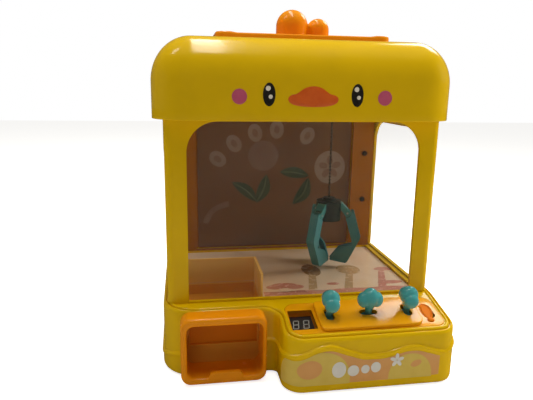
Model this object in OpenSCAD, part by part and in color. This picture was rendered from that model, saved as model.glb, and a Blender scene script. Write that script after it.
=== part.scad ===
// Table-top toy claw crane: a cabin with clear panes over a base with a sloping control desk,
// a gantry, winch and three-armed claw under a rounded hood, and a prize chute.
// +Z is up, the front is -Y, X = 0 is the middle of the hood, and Z = 0 is the table.

/* [Hood] */
// Width of the hood
hood_w = 240; // [232:1:250]
// Depth of the hood
hood_d = 172; // [166:1:180]
// Height of the hood
hood_h = 61.6; // [58:0.2:70]
// Corner radius of the hood seen from above
hood_r = 31; // [24:1:36]
// Radius of the rounded top edge of the hood
hood_edge_r = 34; // [28:1:38]

/* [Cabin] */
// Width of the cabin over its posts
cabin_w = 223; // [215:1:226]
// Depth of the cabin over its posts
cabin_d = 143; // [138:1:146]
// Height where the lower posts meet the arches
arch_z = 173; // [160:1:180]
// Height of the underside of the hood
hood_z = 204.4; // [200:0.2:215]
// Half width of the front window opening
window_half = 94.3; // [88:0.1:97]
// Radius of the arched corners of the window openings
window_arch_r = 24; // [15:1:26]

/* [Base] */
// Width of the base
base_w = 230; // [226:1:234]
// Depth of the base without its desk
base_d = 170; // [166:1:174]
// Height of the ledge that carries the cabin
deck_z = 56.8; // [54:0.2:60]
// Height of the front edge of the desk
desk_front_z = 45; // [40:1:50]
// Wall thickness of the moulded shells
wall = 2.4; // [2:0.1:3]
// How far the skirt stands proud of the shell
skirt_step = 1; // [0.6:0.1:1.5]

/* [Controls] */
// Distance from one joystick to the next
stick_pitch = 32.4; // [30:0.1:34]
// Radius of the middle lobe of a joystick knob
knob_r = 6.6; // [5.5:0.1:7]
// Height of a knob's middle above the desk
knob_lift = 17; // [15:0.5:20]

/* [Claw] */
// Height of the top of the claw's hub
hub_top_z = 125; // [123:0.5:127]
// Distance from the claw's axis to an arm's pivot
claw_pivot_r = 18.5; // [17:0.5:20]
// Width of an arm
arm_w = 8.4; // [7:0.1:9]

/* [Hidden] */
$fn = 64;

YELLOW = "gold";
ORANGE = "darkorange";
TEAL = "cadetblue";
STEEL = "lightsteelblue";

// Small gaps: between fixed parts, and between a pin and the bore that turns on it
gap = 0.15;
run = 0.05;
// Longer than any part, for cutters
far = 400;

// Middle of the hood and cabin along Y
mid_y = 19;
hood_y0 = mid_y - hood_d / 2;
hood_y1 = mid_y + hood_d / 2;
cab_x = cabin_w / 2;
cab_y0 = mid_y - cabin_d / 2;
cab_y1 = mid_y + cabin_d / 2;
cab_r = 6.5;
cab_wall = 3;
pane_t = 1.5;
pane_x = cab_x - cab_wall;
side_y0 = cab_y0 + 4.5;
side_y1 = cab_y1 - 4.5;
sill_h = 1.6;
rear_half = 84;
rear_top_z = 200.4;

// Base: its outline, its desk and its levels
foot_h = 1;
base_y0 = -69;
base_y1 = base_y0 + base_d;
base_r = 28;
base_rear_r = 14;
desk_x0 = -24;
desk_y0 = -104;
desk_r = 15;
fillet_r = 6;
deck_t = 2.4;
bead_h = 1.2;
bead_w = 2.4;
skirt_z = 24;
plate_t = 2.4;
plate_z = foot_h;
floor_t = 1.6;
floor_z = deck_z - deck_t;

// The desk slopes down from the foot of the front posts
slope_y = cab_y0;
slope = atan((deck_z - desk_front_z) / (slope_y - desk_y0));

// Drop hole in the cabin floor, front left
hole_x0 = -101;
hole_x1 = -34.6;
hole_y0 = -46.5;
hole_y1 = -2.6;
fence_t = 1.6;
fence_z = 76;

// Prize outlet
outlet_x0 = -101.7;
outlet_x1 = -34.5;
outlet_y = -83;
outlet_z1 = 56.8;
mouth_x0 = -96.8;
mouth_x1 = -37.8;
mouth_z0 = 6.8;
mouth_z1 = 50;
sleeve_t = 1.6;
sleeve_y = -57.6;
flap_y = -62;
flap_z = 46.6;
flap_len = 21;
flap_pin_r = 1.2;

// Control desk, in the desk's own frame: u across, v up the slope, w off the surface
panel_u0 = -18.4;
panel_u1 = 108;
panel_v0 = -45.6;
panel_v1 = -7.7;
panel_t = 2.2;
stick_plate_u0 = 5.6;
stick_plate_u1 = 89.4;
stick_plate_v0 = -44.6;
stick_plate_v1 = -9.7;
stick_plate_t = 3.2;
stick_u = [47.5 - stick_pitch, 47.5, 47.5 + stick_pitch];
stick_v = -27.5;
slot_half = 7.4;
slot_r = 3.5;
pivot_w = -8;
pin_r = 1.5;
ear_in = 6.2;
ear_t = 2;
display_u0 = -16.5;
display_u1 = 2.5;
display_v0 = -40.5;
display_v1 = -16.9;
display_w = -6.2;
coin_u = 98.6;
coin_v = -26.8;
coin_half = 4.6;
coin_r = 4.8;

// Gantry
crane_x = 43;
crane_y = 28;
rail_x = 103;
rail_w = 5;
rail_h = 3;
ceiling_t = 2.4;
rail_z = hood_z + ceiling_t;
wheel_r = 5;
wheel_z = rail_z + rail_h + wheel_r + 0.1;
wheel_dy = 14;
rod_r = 2;
rod_z = 219;
rod_dy = 6;
drum_r = 6;
drum_y = crane_y + drum_r + 2.4;
drum_z = 236;
bead_r = 1.2;
bead_pitch = 3.2;
chain_top_z = 214;

// Claw
arm_angles = [-16.5, 103.5, 223.5];
pivot_z = 110.5;
claw_pin_r = 1;
ear_r = 3.3;
arm_back = [[25, 112], [32, 88], [31.6, 85], [20.4, 61.4], [18.4, 59.9], [3.4, 62.4]];
arm_front = [[2.8, 63.6], [11.4, 75.2], [24.6, 79.6], [17, 105.6]];
arm_socket_r = 3.8;
arm_wall = 1.4;
arm_web = 1.6;
arm_gap = 0.35;
hub_r = 12;

// ---------- outlines ----------

module rounded_rect(x0, y0, x1, y1, r) {
    translate([x0 + r, y0]) square([x1 - x0 - 2 * r, y1 - y0]);
    translate([x0, y0 + r]) square([x1 - x0, y1 - y0 - 2 * r]);
    for (x = [x0 + r, x1 - r], y = [y0 + r, y1 - r]) translate([x, y]) circle(r);
}

// Base seen from above, grown outwards by g: a rounded rectangle with the desk at its front right
module base_outline(g = 0) {
    half = base_w / 2 + g;
    rounded_rect(-half, base_y0 - g, half, base_y1 + g, base_r + g);
    rounded_rect(-half, 0, half, base_y1 + g, base_rear_r + g);
    rounded_rect(desk_x0 - g, desk_y0 - g, half, base_y0 + 2 * base_r, desk_r + g);
    f = fillet_r - g;
    translate([desk_x0 - g - f, base_y0 - g - f]) difference() {
        square(f + 1);
        circle(f);
    }
}

module slab(z0, z1) {
    translate([0, 0, z0]) linear_extrude(z1 - z0) children();
}

// A flat outline drawn in X and Z, given depth along Y
module wall_y(y0, y1) {
    translate([0, y1, 0]) rotate([90, 0, 0]) linear_extrude(y1 - y0) children();
}

// A flat outline drawn in Y and Z, given depth along X
module wall_x(x0, x1) {
    translate([x0, 0, 0]) rotate([90, 0, 90]) linear_extrude(x1 - x0) children();
}

// Children drawn in the desk's own frame
module on_desk() {
    translate([0, slope_y, deck_z]) rotate([slope, 0, 0]) children();
}

// All the space above the top of the base, lowered by drop
module above_deck(drop) {
    z = deck_z - drop;
    run_y = far / 2;
    translate([-far / 2, -far / 2, z]) cube([far, far, far]);
    wall_x(desk_x0, far / 2)
        polygon([[slope_y, z], [slope_y - run_y, z], [slope_y - run_y, z - run_y * tan(slope)]]);
}

module obround(half, r) {
    square([2 * half - 2 * r, 2 * r], center = true);
    for (s = [-1, 1]) translate([s * (half - r), 0]) circle(r);
}

// ---------- base ----------

boss_r = 4.2;
boss_h = 34;
// Middles of the bosses, which run into the shell's wall
boss_x = base_w / 2 - wall - boss_r + 0.4;
boss_y = base_y1 - wall - boss_r + 0.4;
function screw_spots() = [for (s = [-1, 1], y = [-20, 60]) [s * boss_x, y],
    [boss_x, -84], [-15, boss_y], [75, boss_y]];
screw_r = 1.3;
head_r = 3;

module speaker_slots() {
    for (i = [-3:3]) translate([40 + i * 5, 0, 30]) cube([2, far, 22], center = true);
}

module base_shell() {
    color(YELLOW) difference() {
        union() {
            slab(foot_h, deck_z + 1) base_outline();
            slab(foot_h, skirt_z) base_outline(skirt_step);
        }
        difference() {
            slab(0, deck_z + 2) base_outline(-wall);
            for (p = screw_spots())
                translate([p[0], p[1], plate_z + plate_t]) cylinder(h = boss_h, r = boss_r);
        }
        above_deck(deck_t);
        for (p = screw_spots()) translate([p[0], p[1], 0]) cylinder(h = 22, r = screw_r);
        // seat and mouth of the prize outlet
        wall_y(base_y0 - 5, base_y0)
            rounded_rect(outlet_x0 - gap, -5, outlet_x1 + gap, outlet_z1 + 5, 7);
        wall_y(base_y0 - 5, base_y0 + 10)
            rounded_rect(mouth_x0 - sleeve_t - gap, mouth_z0 - sleeve_t - gap,
                mouth_x1 + sleeve_t + gap, mouth_z1 + sleeve_t + gap, 6.5);
        // back wall: speaker grille, power switch and charging socket
        intersection() {
            speaker_slots();
            translate([0, base_y1 - 10, 0]) cube([far, 30, far]);
        }
        translate([-72, base_y1, 34]) cube([11.6, 20, 5.6], center = true);
        wall_y(base_y1 - 10, base_y1 + 5) translate([-50, 34]) obround(5.2, 2.2);
    }
}

module deck() {
    color(YELLOW) {
        difference() {
            intersection() {
                slab(0, deck_z + 1) base_outline();
                above_deck(deck_t);
            }
            above_deck(0);
            translate([-104, -46, 0]) cube([208, 130, far]);
            on_desk() slab(-10, 10)
                rounded_rect(panel_u0 - gap, panel_v0 - gap, panel_u1 + gap, panel_v1 + gap, 6);
        }
        // raised bead along the rim
        difference() {
            slab(0, deck_z + 3) difference() {
                base_outline();
                base_outline(-bead_w);
            }
            difference() {
                translate([-far, -far, -far]) cube(2 * far);
                above_deck(0);
            }
            above_deck(-bead_h);
        }
    }
}

battery_x0 = -34;
battery_y0 = 20;
battery_w = 68;
battery_d = 64;
battery_h = 19;

module base_plate() {
    w = 1.6;
    color("dimgray") difference() {
        union() {
            slab(plate_z, plate_z + plate_t) base_outline(-wall - gap);
            translate([battery_x0 - w, battery_y0 - w, plate_z])
                cube([battery_w + 2 * w, battery_d + 2 * w, battery_h + w]);
        }
        translate([battery_x0, battery_y0, plate_z - 1])
            cube([battery_w, battery_d, battery_h + 1]);
        for (p = screw_spots()) translate([p[0], p[1], plate_z - 1]) {
            cylinder(h = 10, r = screw_r + 0.3);
            cylinder(h = 1 + 1.2, r = head_r + 0.2);
        }
    }
}

module battery_door() {
    color("dimgray") difference() {
        translate([battery_x0 + gap, battery_y0 + gap, plate_z])
            cube([battery_w - 2 * gap, battery_d - 2 * gap, 1.6]);
        for (i = [0:3]) translate([-12, battery_y0 + 5 + i * 2.4, plate_z - 1]) cube([24, 1.2, 1.6]);
    }
}

module batteries() {
    color("darkslategray") for (i = [0:3]) translate([-25.2, battery_y0 + 9 + i * 15.2, 11]) {
        rotate([0, 90, 0]) cylinder(h = 49, r = 7.2);
        rotate([0, 90, 0]) translate([0, 0, 49]) cylinder(h = 1.4, r = 2.7);
    }
}

module rubber_feet() {
    color("black") for (x = [-90, 90], y = [-46, 78]) translate([x, y, 0]) cylinder(h = foot_h, r = 7);
    color("black") for (x = [-4, 88]) translate([x, -86, 0]) cylinder(h = foot_h, r = 6);
}

// A pan-head screw, head down, with its head on z = 0
module screw(r, len, head) {
    difference() {
        cylinder(h = 1.1, r = head);
        for (a = [0, 90]) rotate(a) cube([head * 1.3, 0.7, 0.9], center = true);
    }
    translate([0, 0, 1.1]) cylinder(h = len, r = r);
}

cladding_x = 97.3;
cladding_z = [109.9, 160.5];
rear_frame_y = side_y1 - 2;
rear_frame_t = 2.4;

module screws() {
    color(STEEL) {
        for (p = screw_spots()) translate([p[0], p[1], plate_z + 0.1]) screw(screw_r, 16, head_r);
        for (x = [-cladding_x, cladding_x], z = cladding_z)
            translate([x, rear_frame_y - 1.1, z]) rotate([-90, 0, 0]) screw(screw_r, 4.6, 2.8);
    }
}

module main_board() {
    color("green") translate([50, 20, 8]) {
        cube([44, 60, 1.6]);
        translate([6, 8, 1.6]) cube([10, 10, 2]);
        translate([24, 30, 1.6]) cube([12, 8, 3]);
        translate([6, 40, 1.6]) cylinder(h = 10, r = 4);
        for (x = [4, 40], y = [4, 56])
            translate([x, y, plate_z + plate_t - 8]) cylinder(h = 8 - plate_z - plate_t, r = 2.2);
    }
}

module speaker() {
    color("black") translate([40, base_y1 - wall, 30]) rotate([90, 0, 0]) {
        difference() {
            cylinder(h = 5, r = 18);
            translate([0, 0, -1]) cylinder(h = 3, r = 15.5);
        }
        cylinder(h = 1, r = 5);
        translate([0, 0, 5]) cylinder(h = 6, r = 9);
    }
}

module power_switch() {
    color("black") translate([-74.4, base_y1 - 3, 34]) {
        cube([6, 6.4, 4.8], center = true);
        for (s = [-2, 0, 2]) translate([s - 0.4, 3.2, -2.4]) cube([0.8, 0.7, 4.8]);
    }
}

module rear_socket() {
    color("black") {
        translate([-82, base_y1 - 12, 28]) cube([20, 5.6, 12]);
        difference() {
            translate([-57, base_y1 - 12, 30]) cube([14, 12 - wall, 8]);
            wall_y(base_y1 - 7, base_y1) translate([-50, 34]) obround(4.4, 1.4);
        }
        translate([-84, base_y1 - 13.6, 26]) cube([44, 1.6, 16]);
    }
}

// ---------- prize outlet ----------

module outlet_frame() {
    color(ORANGE) {
        difference() {
            union() {
                wall_y(outlet_y, base_y0)
                    rounded_rect(outlet_x0, foot_h, outlet_x1, outlet_z1, 7);
                wall_y(base_y0, sleeve_y)
                    rounded_rect(mouth_x0 - sleeve_t, mouth_z0 - sleeve_t,
                        mouth_x1 + sleeve_t, mouth_z1 + sleeve_t, 6.5);
            }
            wall_y(outlet_y - 1, sleeve_y + 1)
                rounded_rect(mouth_x0, mouth_z0, mouth_x1, mouth_z1, 5);
            // bores for the flap's pivots
            translate([mouth_x0 - far / 2, flap_y, flap_z]) rotate([0, 90, 0])
                cylinder(h = far, r = flap_pin_r + run);
        }
        wall_y(outlet_y, outlet_y + 2.4)
            polygon([[-81, mouth_z0], [-78.6, 11.3], [-55.5, 11.3], [-53, mouth_z0]]);
    }
}

module outlet_flap() {
    x0 = mouth_x0 + 2.2;
    x1 = mouth_x1 - 2.2;
    pin = 3;
    color(ORANGE) {
        translate([x0, flap_y - 0.8, flap_z - flap_len]) cube([x1 - x0, 1.6, flap_len]);
        translate([x0, flap_y, flap_z]) rotate([0, 90, 0]) cylinder(h = x1 - x0, r = 2);
        translate([x0 - pin, flap_y, flap_z]) rotate([0, 90, 0])
            cylinder(h = x1 - x0 + 2 * pin, r = flap_pin_r);
        translate([x0, flap_y - 1.4, flap_z - flap_len]) cube([x1 - x0, 2.8, 1.2]);
    }
}

ramp_y0 = sleeve_y + 0.2;
ramp_z1 = 44;

module prize_ramp() {
    side = [[ramp_y0, mouth_z0 - 1.6], [hole_y1, ramp_z1 - 1.6], [hole_y1, floor_z - floor_t],
        [ramp_y0 + 8, floor_z - floor_t], [ramp_y0, mouth_z1]];
    color(ORANGE) {
        wall_x(hole_x0, hole_x1)
            polygon([[ramp_y0, mouth_z0 - 1.6], [hole_y1, ramp_z1 - 1.6],
                [hole_y1, ramp_z1], [ramp_y0, mouth_z0]]);
        wall_x(hole_x0 - fence_t, hole_x0) polygon(side);
        wall_x(hole_x1, hole_x1 + fence_t) polygon(side);
        translate([hole_x0 - fence_t, hole_y1, ramp_z1 - 1.6])
            cube([hole_x1 - hole_x0 + 2 * fence_t, fence_t, floor_z - floor_t - ramp_z1 + 1.6]);
    }
}

module chute_fence() {
    z0 = floor_z + 0.3;
    color(ORANGE) {
        translate([-104, hole_y1, z0]) cube([104 + hole_x1 + fence_t, fence_t, fence_z - z0]);
        translate([hole_x1, -46, z0]) cube([fence_t, hole_y1 + 46, fence_z - z0]);
        translate([-104, hole_y1 - 0.3, fence_z]) cube([104 + hole_x1 + fence_t + 0.3, 2.2, 1]);
        translate([hole_x1 - 0.3, -46, fence_z]) cube([2.2, 46 + hole_y1, 1]);
    }
}

module floor_cut() {
    translate([hole_x0, hole_y0, 0]) cube([hole_x1 - hole_x0, hole_y1 - hole_y0, far]);
}

module floor_board() {
    color("wheat") difference() {
        translate([-107, -49, floor_z - floor_t]) cube([214, 136, floor_t]);
        floor_cut();
    }
}

module floor_print() {
    color("bisque") difference() {
        translate([-103.5, -45.5, floor_z]) cube([207, 129, 0.3]);
        floor_cut();
    }
}

// ---------- control desk ----------

module stick_slot(i, half, r) {
    translate([stick_u[i], stick_v]) rotate(i == 1 ? 0 : 90) obround(half, r);
}

module control_panel() {
    well_t = 1.2;
    color(ORANGE) on_desk() difference() {
        union() {
            slab(-panel_t, 0) rounded_rect(panel_u0, panel_v0, panel_u1, panel_v1, 6);
            // flange that holds the panel up against the underside of the deck
            slab(-4.2, -deck_t - 0.1) difference() {
                rounded_rect(panel_u0 - 2, panel_v0 - 1.5, panel_u1 + 2, panel_v1 + 2, 7);
                rounded_rect(panel_u0 + 2, panel_v0 + 2, panel_u1 - 2, panel_v1 - 2, 4);
            }
            slab(-4.2, -panel_t + 0.1) difference() {
                rounded_rect(panel_u0, panel_v0, panel_u1, panel_v1, 6);
                rounded_rect(panel_u0 + 2, panel_v0 + 2, panel_u1 - 2, panel_v1 - 2, 4);
            }
            slab(display_w, -panel_t) rounded_rect(display_u0 - well_t, display_v0 - well_t,
                display_u1 + well_t, display_v1 + well_t, 1.4);
        }
        slab(display_w - 1, 1) rounded_rect(display_u0, display_v0, display_u1, display_v1, 0.8);
        slab(-far, far) for (i = [0:2]) stick_slot(i, 11.5, slot_r + 2);
        slab(-far, far) translate([coin_u, coin_v]) rotate(90)
            obround(coin_half + coin_r + gap, coin_r + gap);
    }
}

module joystick_plate() {
    color(ORANGE) on_desk() difference() {
        slab(0, stick_plate_t)
            rounded_rect(stick_plate_u0, stick_plate_v0, stick_plate_u1, stick_plate_v1, 4);
        slab(-1, far) for (i = [0:2]) stick_slot(i, slot_half, slot_r);
    }
}

// Children drawn about joystick i's pivot, with X along its axle
module at_stick(i) {
    on_desk() translate([stick_u[i], stick_v, pivot_w]) rotate(i == 1 ? 90 : 0) children();
}

// Three-lobed knob on a stem, with a round skirt under the slot and a tail for the switches
module joystick(i) {
    top = knob_lift - pivot_w;
    lobe_r = 0.62 * knob_r;
    color(TEAL) at_stick(i) difference() {
        union() {
            translate([0, 0, top]) sphere(knob_r);
            for (s = [-1, 1]) translate([0, s * 0.72 * knob_r, top - 0.4]) sphere(lobe_r);
            cylinder(h = top, r = 2.6);
            translate([0, 0, top - 9]) cylinder(h = 5, r1 = 2.6, r2 = 4.6, $fn = 48);
            intersection() {
                rotate([0, 90, 0]) cylinder(h = 6, r = 9.4, center = true);
                translate([-5, -10, 1]) cube([10, 20, 20]);
            }
            rotate([0, 90, 0]) cylinder(h = 9, r = 3.6, center = true);
            translate([0, 0, -9]) cylinder(h = 9, r = 1.7);
        }
        rotate([0, 90, 0]) cylinder(h = 40, r = pin_r + run, center = true);
    }
}

module joystick_left() { joystick(0); }
module joystick_middle() { joystick(1); }
module joystick_right() { joystick(2); }

module joystick_brackets() {
    color("white") for (i = [0:2]) at_stick(i) difference() {
        for (s = [-1, 1]) translate([s > 0 ? ear_in : -ear_in - ear_t, -4, -4])
            cube([ear_t, 8, 4 - pivot_w - panel_t]);
        rotate([0, 90, 0]) cylinder(h = 40, r = pin_r, center = true);
    }
}

module joystick_pins() {
    color(STEEL) for (i = [0:2]) at_stick(i) rotate([0, 90, 0])
        cylinder(h = 2 * (ear_in + ear_t) + 1, r = pin_r, center = true);
}

module joystick_springs() {
    color(STEEL) for (i = [0:2], s = [-1, 1], k = [0, 1]) at_stick(i) rotate([0, 90, 0])
        translate([0, 0, s * (5.0 + 0.7 * k)]) rotate_extrude() translate([2.1, 0]) circle(0.3, $fn = 16);
}

module control_board() {
    w0 = -22;
    color("green") on_desk() {
        translate([-16, -43, w0]) cube([108, 31, 1.6]);
        for (i = [0:2], s = [-1, 1]) translate([stick_u[i], stick_v, w0 + 1.6]) rotate(i == 1 ? 0 : 90)
            translate([s * 7.6 - 2.6, -3, 0]) cube([5.2, 6, 4]);
        for (u = [31, 63.5, 89], v = [-40.4, -14.6])
            translate([u, v, w0 + 1.6]) cylinder(h = -w0 - 1.6 - panel_t, r = 1.4);
        for (v = [-36, -21]) translate([-13, v, w0 + 1.6])
            cylinder(h = display_w - lens_t - display_h - w0 - 1.6, r = 1.4);
    }
}

lens_t = 1.2;
display_h = 7;

module led_display() {
    color("black") on_desk()
        translate([display_u0 + 0.5, display_v0 + 0.5, display_w - lens_t - display_h])
            cube([display_u1 - display_u0 - 1, display_v1 - display_v0 - 1, display_h]);
}

module display_lens() {
    color("dimgray") on_desk() translate([display_u0 - 1, display_v0 - 1, display_w - lens_t])
        cube([display_u1 - display_u0 + 2, display_v1 - display_v0 + 2, lens_t]);
}

module coin_dish() {
    outer = coin_half + coin_r;
    color(ORANGE) on_desk() translate([coin_u, coin_v, 0]) rotate(90) difference() {
        union() {
            slab(-3.4, 0) obround(outer, coin_r);
            slab(0, 0.8) obround(outer + 0.8, coin_r + 0.8);
        }
        slab(-1.6, 2) obround(outer - 1.2, coin_r - 1.2);
        translate([0, 2.2, 0]) cube([11, 2, 20], center = true);
    }
}

module coin_guide() {
    color("white") on_desk() translate([coin_u - 2.2, coin_v, -24]) difference() {
        translate([0, 0, 9]) cube([5.6, 20, 18 + 5], center = true);
        cube([3, 17, far], center = true);
    }
}

module front_label() {
    y = desk_y0 - skirt_step;
    color("khaki") wall_y(y - 0.2, y) rounded_rect(-8, 6, 98, 22, 6);
}

// ---------- cabin ----------

module window_hole(half, z0, z1, r) {
    rounded_rect(-half, z0, half, z1, r);
    translate([-half, z0]) square([2 * half, z1 - z0 - r]);
}

// Cuts the four window openings, from height z0 and with arched tops
module cabin_openings(z0) {
    side_half = (side_y1 - side_y0) / 2;
    wall_y(cab_y0 - 5, cab_y0 + 10) window_hole(window_half, z0, hood_z - 1.4, window_arch_r);
    wall_y(cab_y1 - 6, cab_y1 + 5) window_hole(rear_half, z0, rear_top_z, 3);
    wall_x(-far / 2, far / 2) translate([mid_y, 0]) window_hole(side_half, z0, 195, 19);
}

module cabin_ring(z0, z1) {
    slab(z0, z1) difference() {
        rounded_rect(-cab_x, cab_y0, cab_x, cab_y1, cab_r);
        rounded_rect(-pane_x, cab_y0 + cab_wall, pane_x, cab_y1 - cab_wall, 0.4);
    }
}

hinge_x = 86.4;
hinge_y = cab_y1 + 2.4;
knuckle_r = 2;
hinge_pin_r = 1;
hinge_z = [80, 150];
knuckle_h = 8;

// Frame half of a door hinge at each height in hinge_z: a knuckle above and below the door's own
module frame_knuckles() {
    for (z = hinge_z, s = [-1, 1]) translate([hinge_x, hinge_y, z + s * (knuckle_h + 0.3)])
        difference() {
            union() {
                cylinder(h = knuckle_h, r = knuckle_r, center = true);
                translate([0, -2.4, -knuckle_h / 2]) cube([6, 2.9, knuckle_h]);
            }
            cylinder(h = far, r = hinge_pin_r, center = true);
        }
}

module cabin_lower() {
    color(YELLOW) {
        difference() {
            cabin_ring(deck_z, arch_z);
            cabin_openings(deck_z + sill_h);
            for (x = [-cladding_x, cladding_x], z = cladding_z) translate([x, side_y1, z])
                rotate([-90, 0, 0]) cylinder(h = 3.5, r = screw_r);
        }
        frame_knuckles();
    }
}

module cabin_arch() {
    color(YELLOW) difference() {
        cabin_ring(arch_z, hood_z);
        cabin_openings(arch_z - 60);
    }
}

module front_window() {
    half = pane_x - pane_t - 2 * gap;
    color("lightcyan", 0.3) translate([-half, cab_y0 + cab_wall, deck_z])
        cube([2 * half, pane_t, hood_z - deck_z]);
}

module side_window(s) {
    y0 = cab_y0 + cab_wall + 0.5;
    x = s * (pane_x - pane_t / 2 - 0.05);
    color("lightcyan", 0.3) translate([x - pane_t / 2, y0, deck_z])
        cube([pane_t, rear_frame_y - 0.2 - y0, hood_z - deck_z]);
}

module left_window() { side_window(-1); }
module right_window() { side_window(1); }

module rear_frame() {
    x = pane_x - pane_t - 2 * gap;
    color(ORANGE) difference() {
        wall_y(rear_frame_y, rear_frame_y + rear_frame_t) difference() {
            translate([-x, deck_z]) square([2 * x, hood_z - deck_z]);
            translate([-83.7, deck_z + sill_h]) square([2 * 83.7, 198 - deck_z]);
        }
        for (sx = [-cladding_x, cladding_x], z = cladding_z) translate([sx, rear_frame_y - 1, z])
            rotate([-90, 0, 0]) cylinder(h = 10, r = screw_r);
    }
}

door_y0 = cab_y1 - cab_wall + 0.2;
door_z0 = 59;
door_z1 = 199.6;
door_half = 83.4;

module rear_door() {
    color(ORANGE) {
        difference() {
            wall_y(door_y0, cab_y1)
                rounded_rect(-door_half, door_z0, door_half, door_z1, 2);
            // sunken panel on the outside, and a finger pull
            wall_y(door_y0 + 1.4, cab_y1 + 1)
                rounded_rect(-door_half + 14, door_z0 + 8, door_half - 10, door_z1 - 8, 6);
            wall_y(door_y0 + 1.4, cab_y1 + 1) rounded_rect(-door_half + 3, 118, -door_half + 11, 140, 3);
        }
        difference() {
            for (z = hinge_z) translate([hinge_x, hinge_y, z]) {
                cylinder(h = knuckle_h, r = knuckle_r, center = true);
                translate([-9, -0.9, -knuckle_h / 2]) cube([9, 1.6, knuckle_h]);
                translate([-9, -2.4, -knuckle_h / 2]) cube([5.4, 2.6, knuckle_h]);
            }
            translate([hinge_x, hinge_y, 0]) cylinder(h = far, r = hinge_pin_r + run);
        }
    }
}

module door_card() {
    color("peru") translate([-82, door_y0 - 0.3, door_z0 + 1])
        cube([164, 0.3, door_z1 - door_z0 - 2]);
}

module door_pins() {
    color(STEEL) for (z = hinge_z) translate([hinge_x, hinge_y, z])
        cylinder(h = 3 * knuckle_h + 0.6, r = hinge_pin_r, center = true);
}

// ---------- hood ----------

// A rounded block: straight sides, then a quarter-round edge all round the top
module hood_block(half_x, half_y, z0, z1, r, edge_r) {
    steps = 8;
    side_z = z1 - edge_r;
    profile = concat([[0, z0], [r, z0]],
        [for (i = [0:steps]) [r * cos(90 * i / steps), side_z + edge_r * sin(90 * i / steps)]]);
    hull() for (x = [-1, 1], y = [-1, 1])
        translate([x * (half_x - r), mid_y + y * (half_y - r), 0])
            rotate_extrude($fn = 32) polygon(profile);
}

module hood_shell() {
    color(YELLOW) difference() {
        hood_block(hood_w / 2, hood_d / 2, hood_z, hood_z + hood_h, hood_r, hood_edge_r);
        hood_block(hood_w / 2 - wall, hood_d / 2 - wall, hood_z - 1, hood_z + hood_h - wall,
            hood_r - wall, hood_edge_r - wall);
    }
}

crane_hole_x = 98;

module ceiling_plate() {
    g = wall + gap;
    color(YELLOW) slab(hood_z, hood_z + ceiling_t) difference() {
        rounded_rect(-hood_w / 2 + g, hood_y0 + g, hood_w / 2 - g, hood_y1 - g, hood_r - g);
        rounded_rect(-crane_hole_x, mid_y - 62, crane_hole_x, mid_y + 62, 6);
    }
}

module side_rails() {
    color("white") for (s = [-1, 1]) translate([s * rail_x - rail_w / 2, mid_y - 68, rail_z]) {
        cube([rail_w, 136, rail_h]);
        for (y = [0, 132]) translate([0, y, 0]) cube([rail_w, 4, 14]);
    }
}

module lamp_strip() {
    color("white") translate([-30, hood_y0 + 6, rail_z]) {
        cube([60, 8, 2]);
        for (x = [10, 30, 50]) translate([x, 4, 2]) sphere(2);
    }
}

hood_top = hood_z + hood_h;
top_t = 4.5;

module top_plate() {
    color(ORANGE) slab(hood_top, hood_top + top_t) rounded_rect(-70, mid_y - 46, 74, mid_y + 46, 7);
}

// A round-topped bump: straight sides up to side_h, then a half ball
module bump(x, r, side_h) {
    translate([x, mid_y, hood_top + top_t]) rotate_extrude($fn = 96) polygon(concat([[0, 0], [r, 0]],
        [for (t = [0:9:90]) [r * cos(t), side_h + r * sin(t)]]));
}

module top_tuft() {
    color(ORANGE) {
        bump(0, 14, 10.8);
        bump(23.3, 10, 8.2);
    }
}

// ---------- gantry and winch ----------

module wheel_pair(dy) {
    y = crane_y + dy;
    color("dimgray") for (s = [-1, 1]) translate([s * rail_x, y, wheel_z]) rotate([0, 90, 0]) {
        cylinder(h = 4, r = wheel_r, center = true);
        cylinder(h = 9, r = 1, center = true);
    }
}

module bridge_wheels_front() { wheel_pair(-wheel_dy); }
module bridge_wheels_rear() { wheel_pair(wheel_dy); }

module bridge_frame() {
    color("white") for (s = [-1, 1]) difference() {
        translate([s * rail_x - 6.5, crane_y - 21, rail_z + rail_h + 2.4]) cube([13, 42, 12]);
        for (dy = [-wheel_dy, wheel_dy]) translate([s * rail_x, crane_y + dy, wheel_z]) {
            cube([4.6, 11.2, 11.2], center = true);
            rotate([0, 90, 0]) cylinder(h = 9.4, r = 1 + run, center = true);
        }
        for (dy = [-rod_dy, rod_dy]) translate([0, crane_y + dy, rod_z])
            rotate([0, 90, 0]) cylinder(h = far, r = rod_r, center = true);
    }
}

module bridge_rods() {
    color(STEEL) for (dy = [-rod_dy, rod_dy]) translate([0, crane_y + dy, rod_z])
        rotate([0, 90, 0]) cylinder(h = 2 * rail_x + 12, r = rod_r, center = true);
}

module bridge_motor() {
    color(STEEL) translate([-rail_x, crane_y, rail_z + rail_h + 14.4]) {
        translate([-5, -10, 0]) cube([10, 20, 10]);
        translate([5, 0, 5]) rotate([0, 90, 0]) cylinder(h = 12, r = 4.5);
    }
}

module trolley_frame() {
    z0 = rail_z + 5;
    color("white") difference() {
        union() {
            translate([crane_x - 15, crane_y - 12, z0]) cube([30, 32, 12]);
            for (s = [-1, 1]) translate([crane_x + s * 9 - 1.2, drum_y - 7, z0 + 12])
                cube([2.4, 14, drum_z - z0 - 6]);
        }
        for (dy = [-rod_dy, rod_dy]) translate([0, crane_y + dy, rod_z])
            rotate([0, 90, 0]) cylinder(h = far, r = rod_r + run, center = true);
        translate([crane_x, crane_y, 0]) cylinder(h = far, r = bead_r + 1);
        translate([0, drum_y, drum_z]) rotate([0, 90, 0]) cylinder(h = far, r = 1.5 + run);
    }
}

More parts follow.
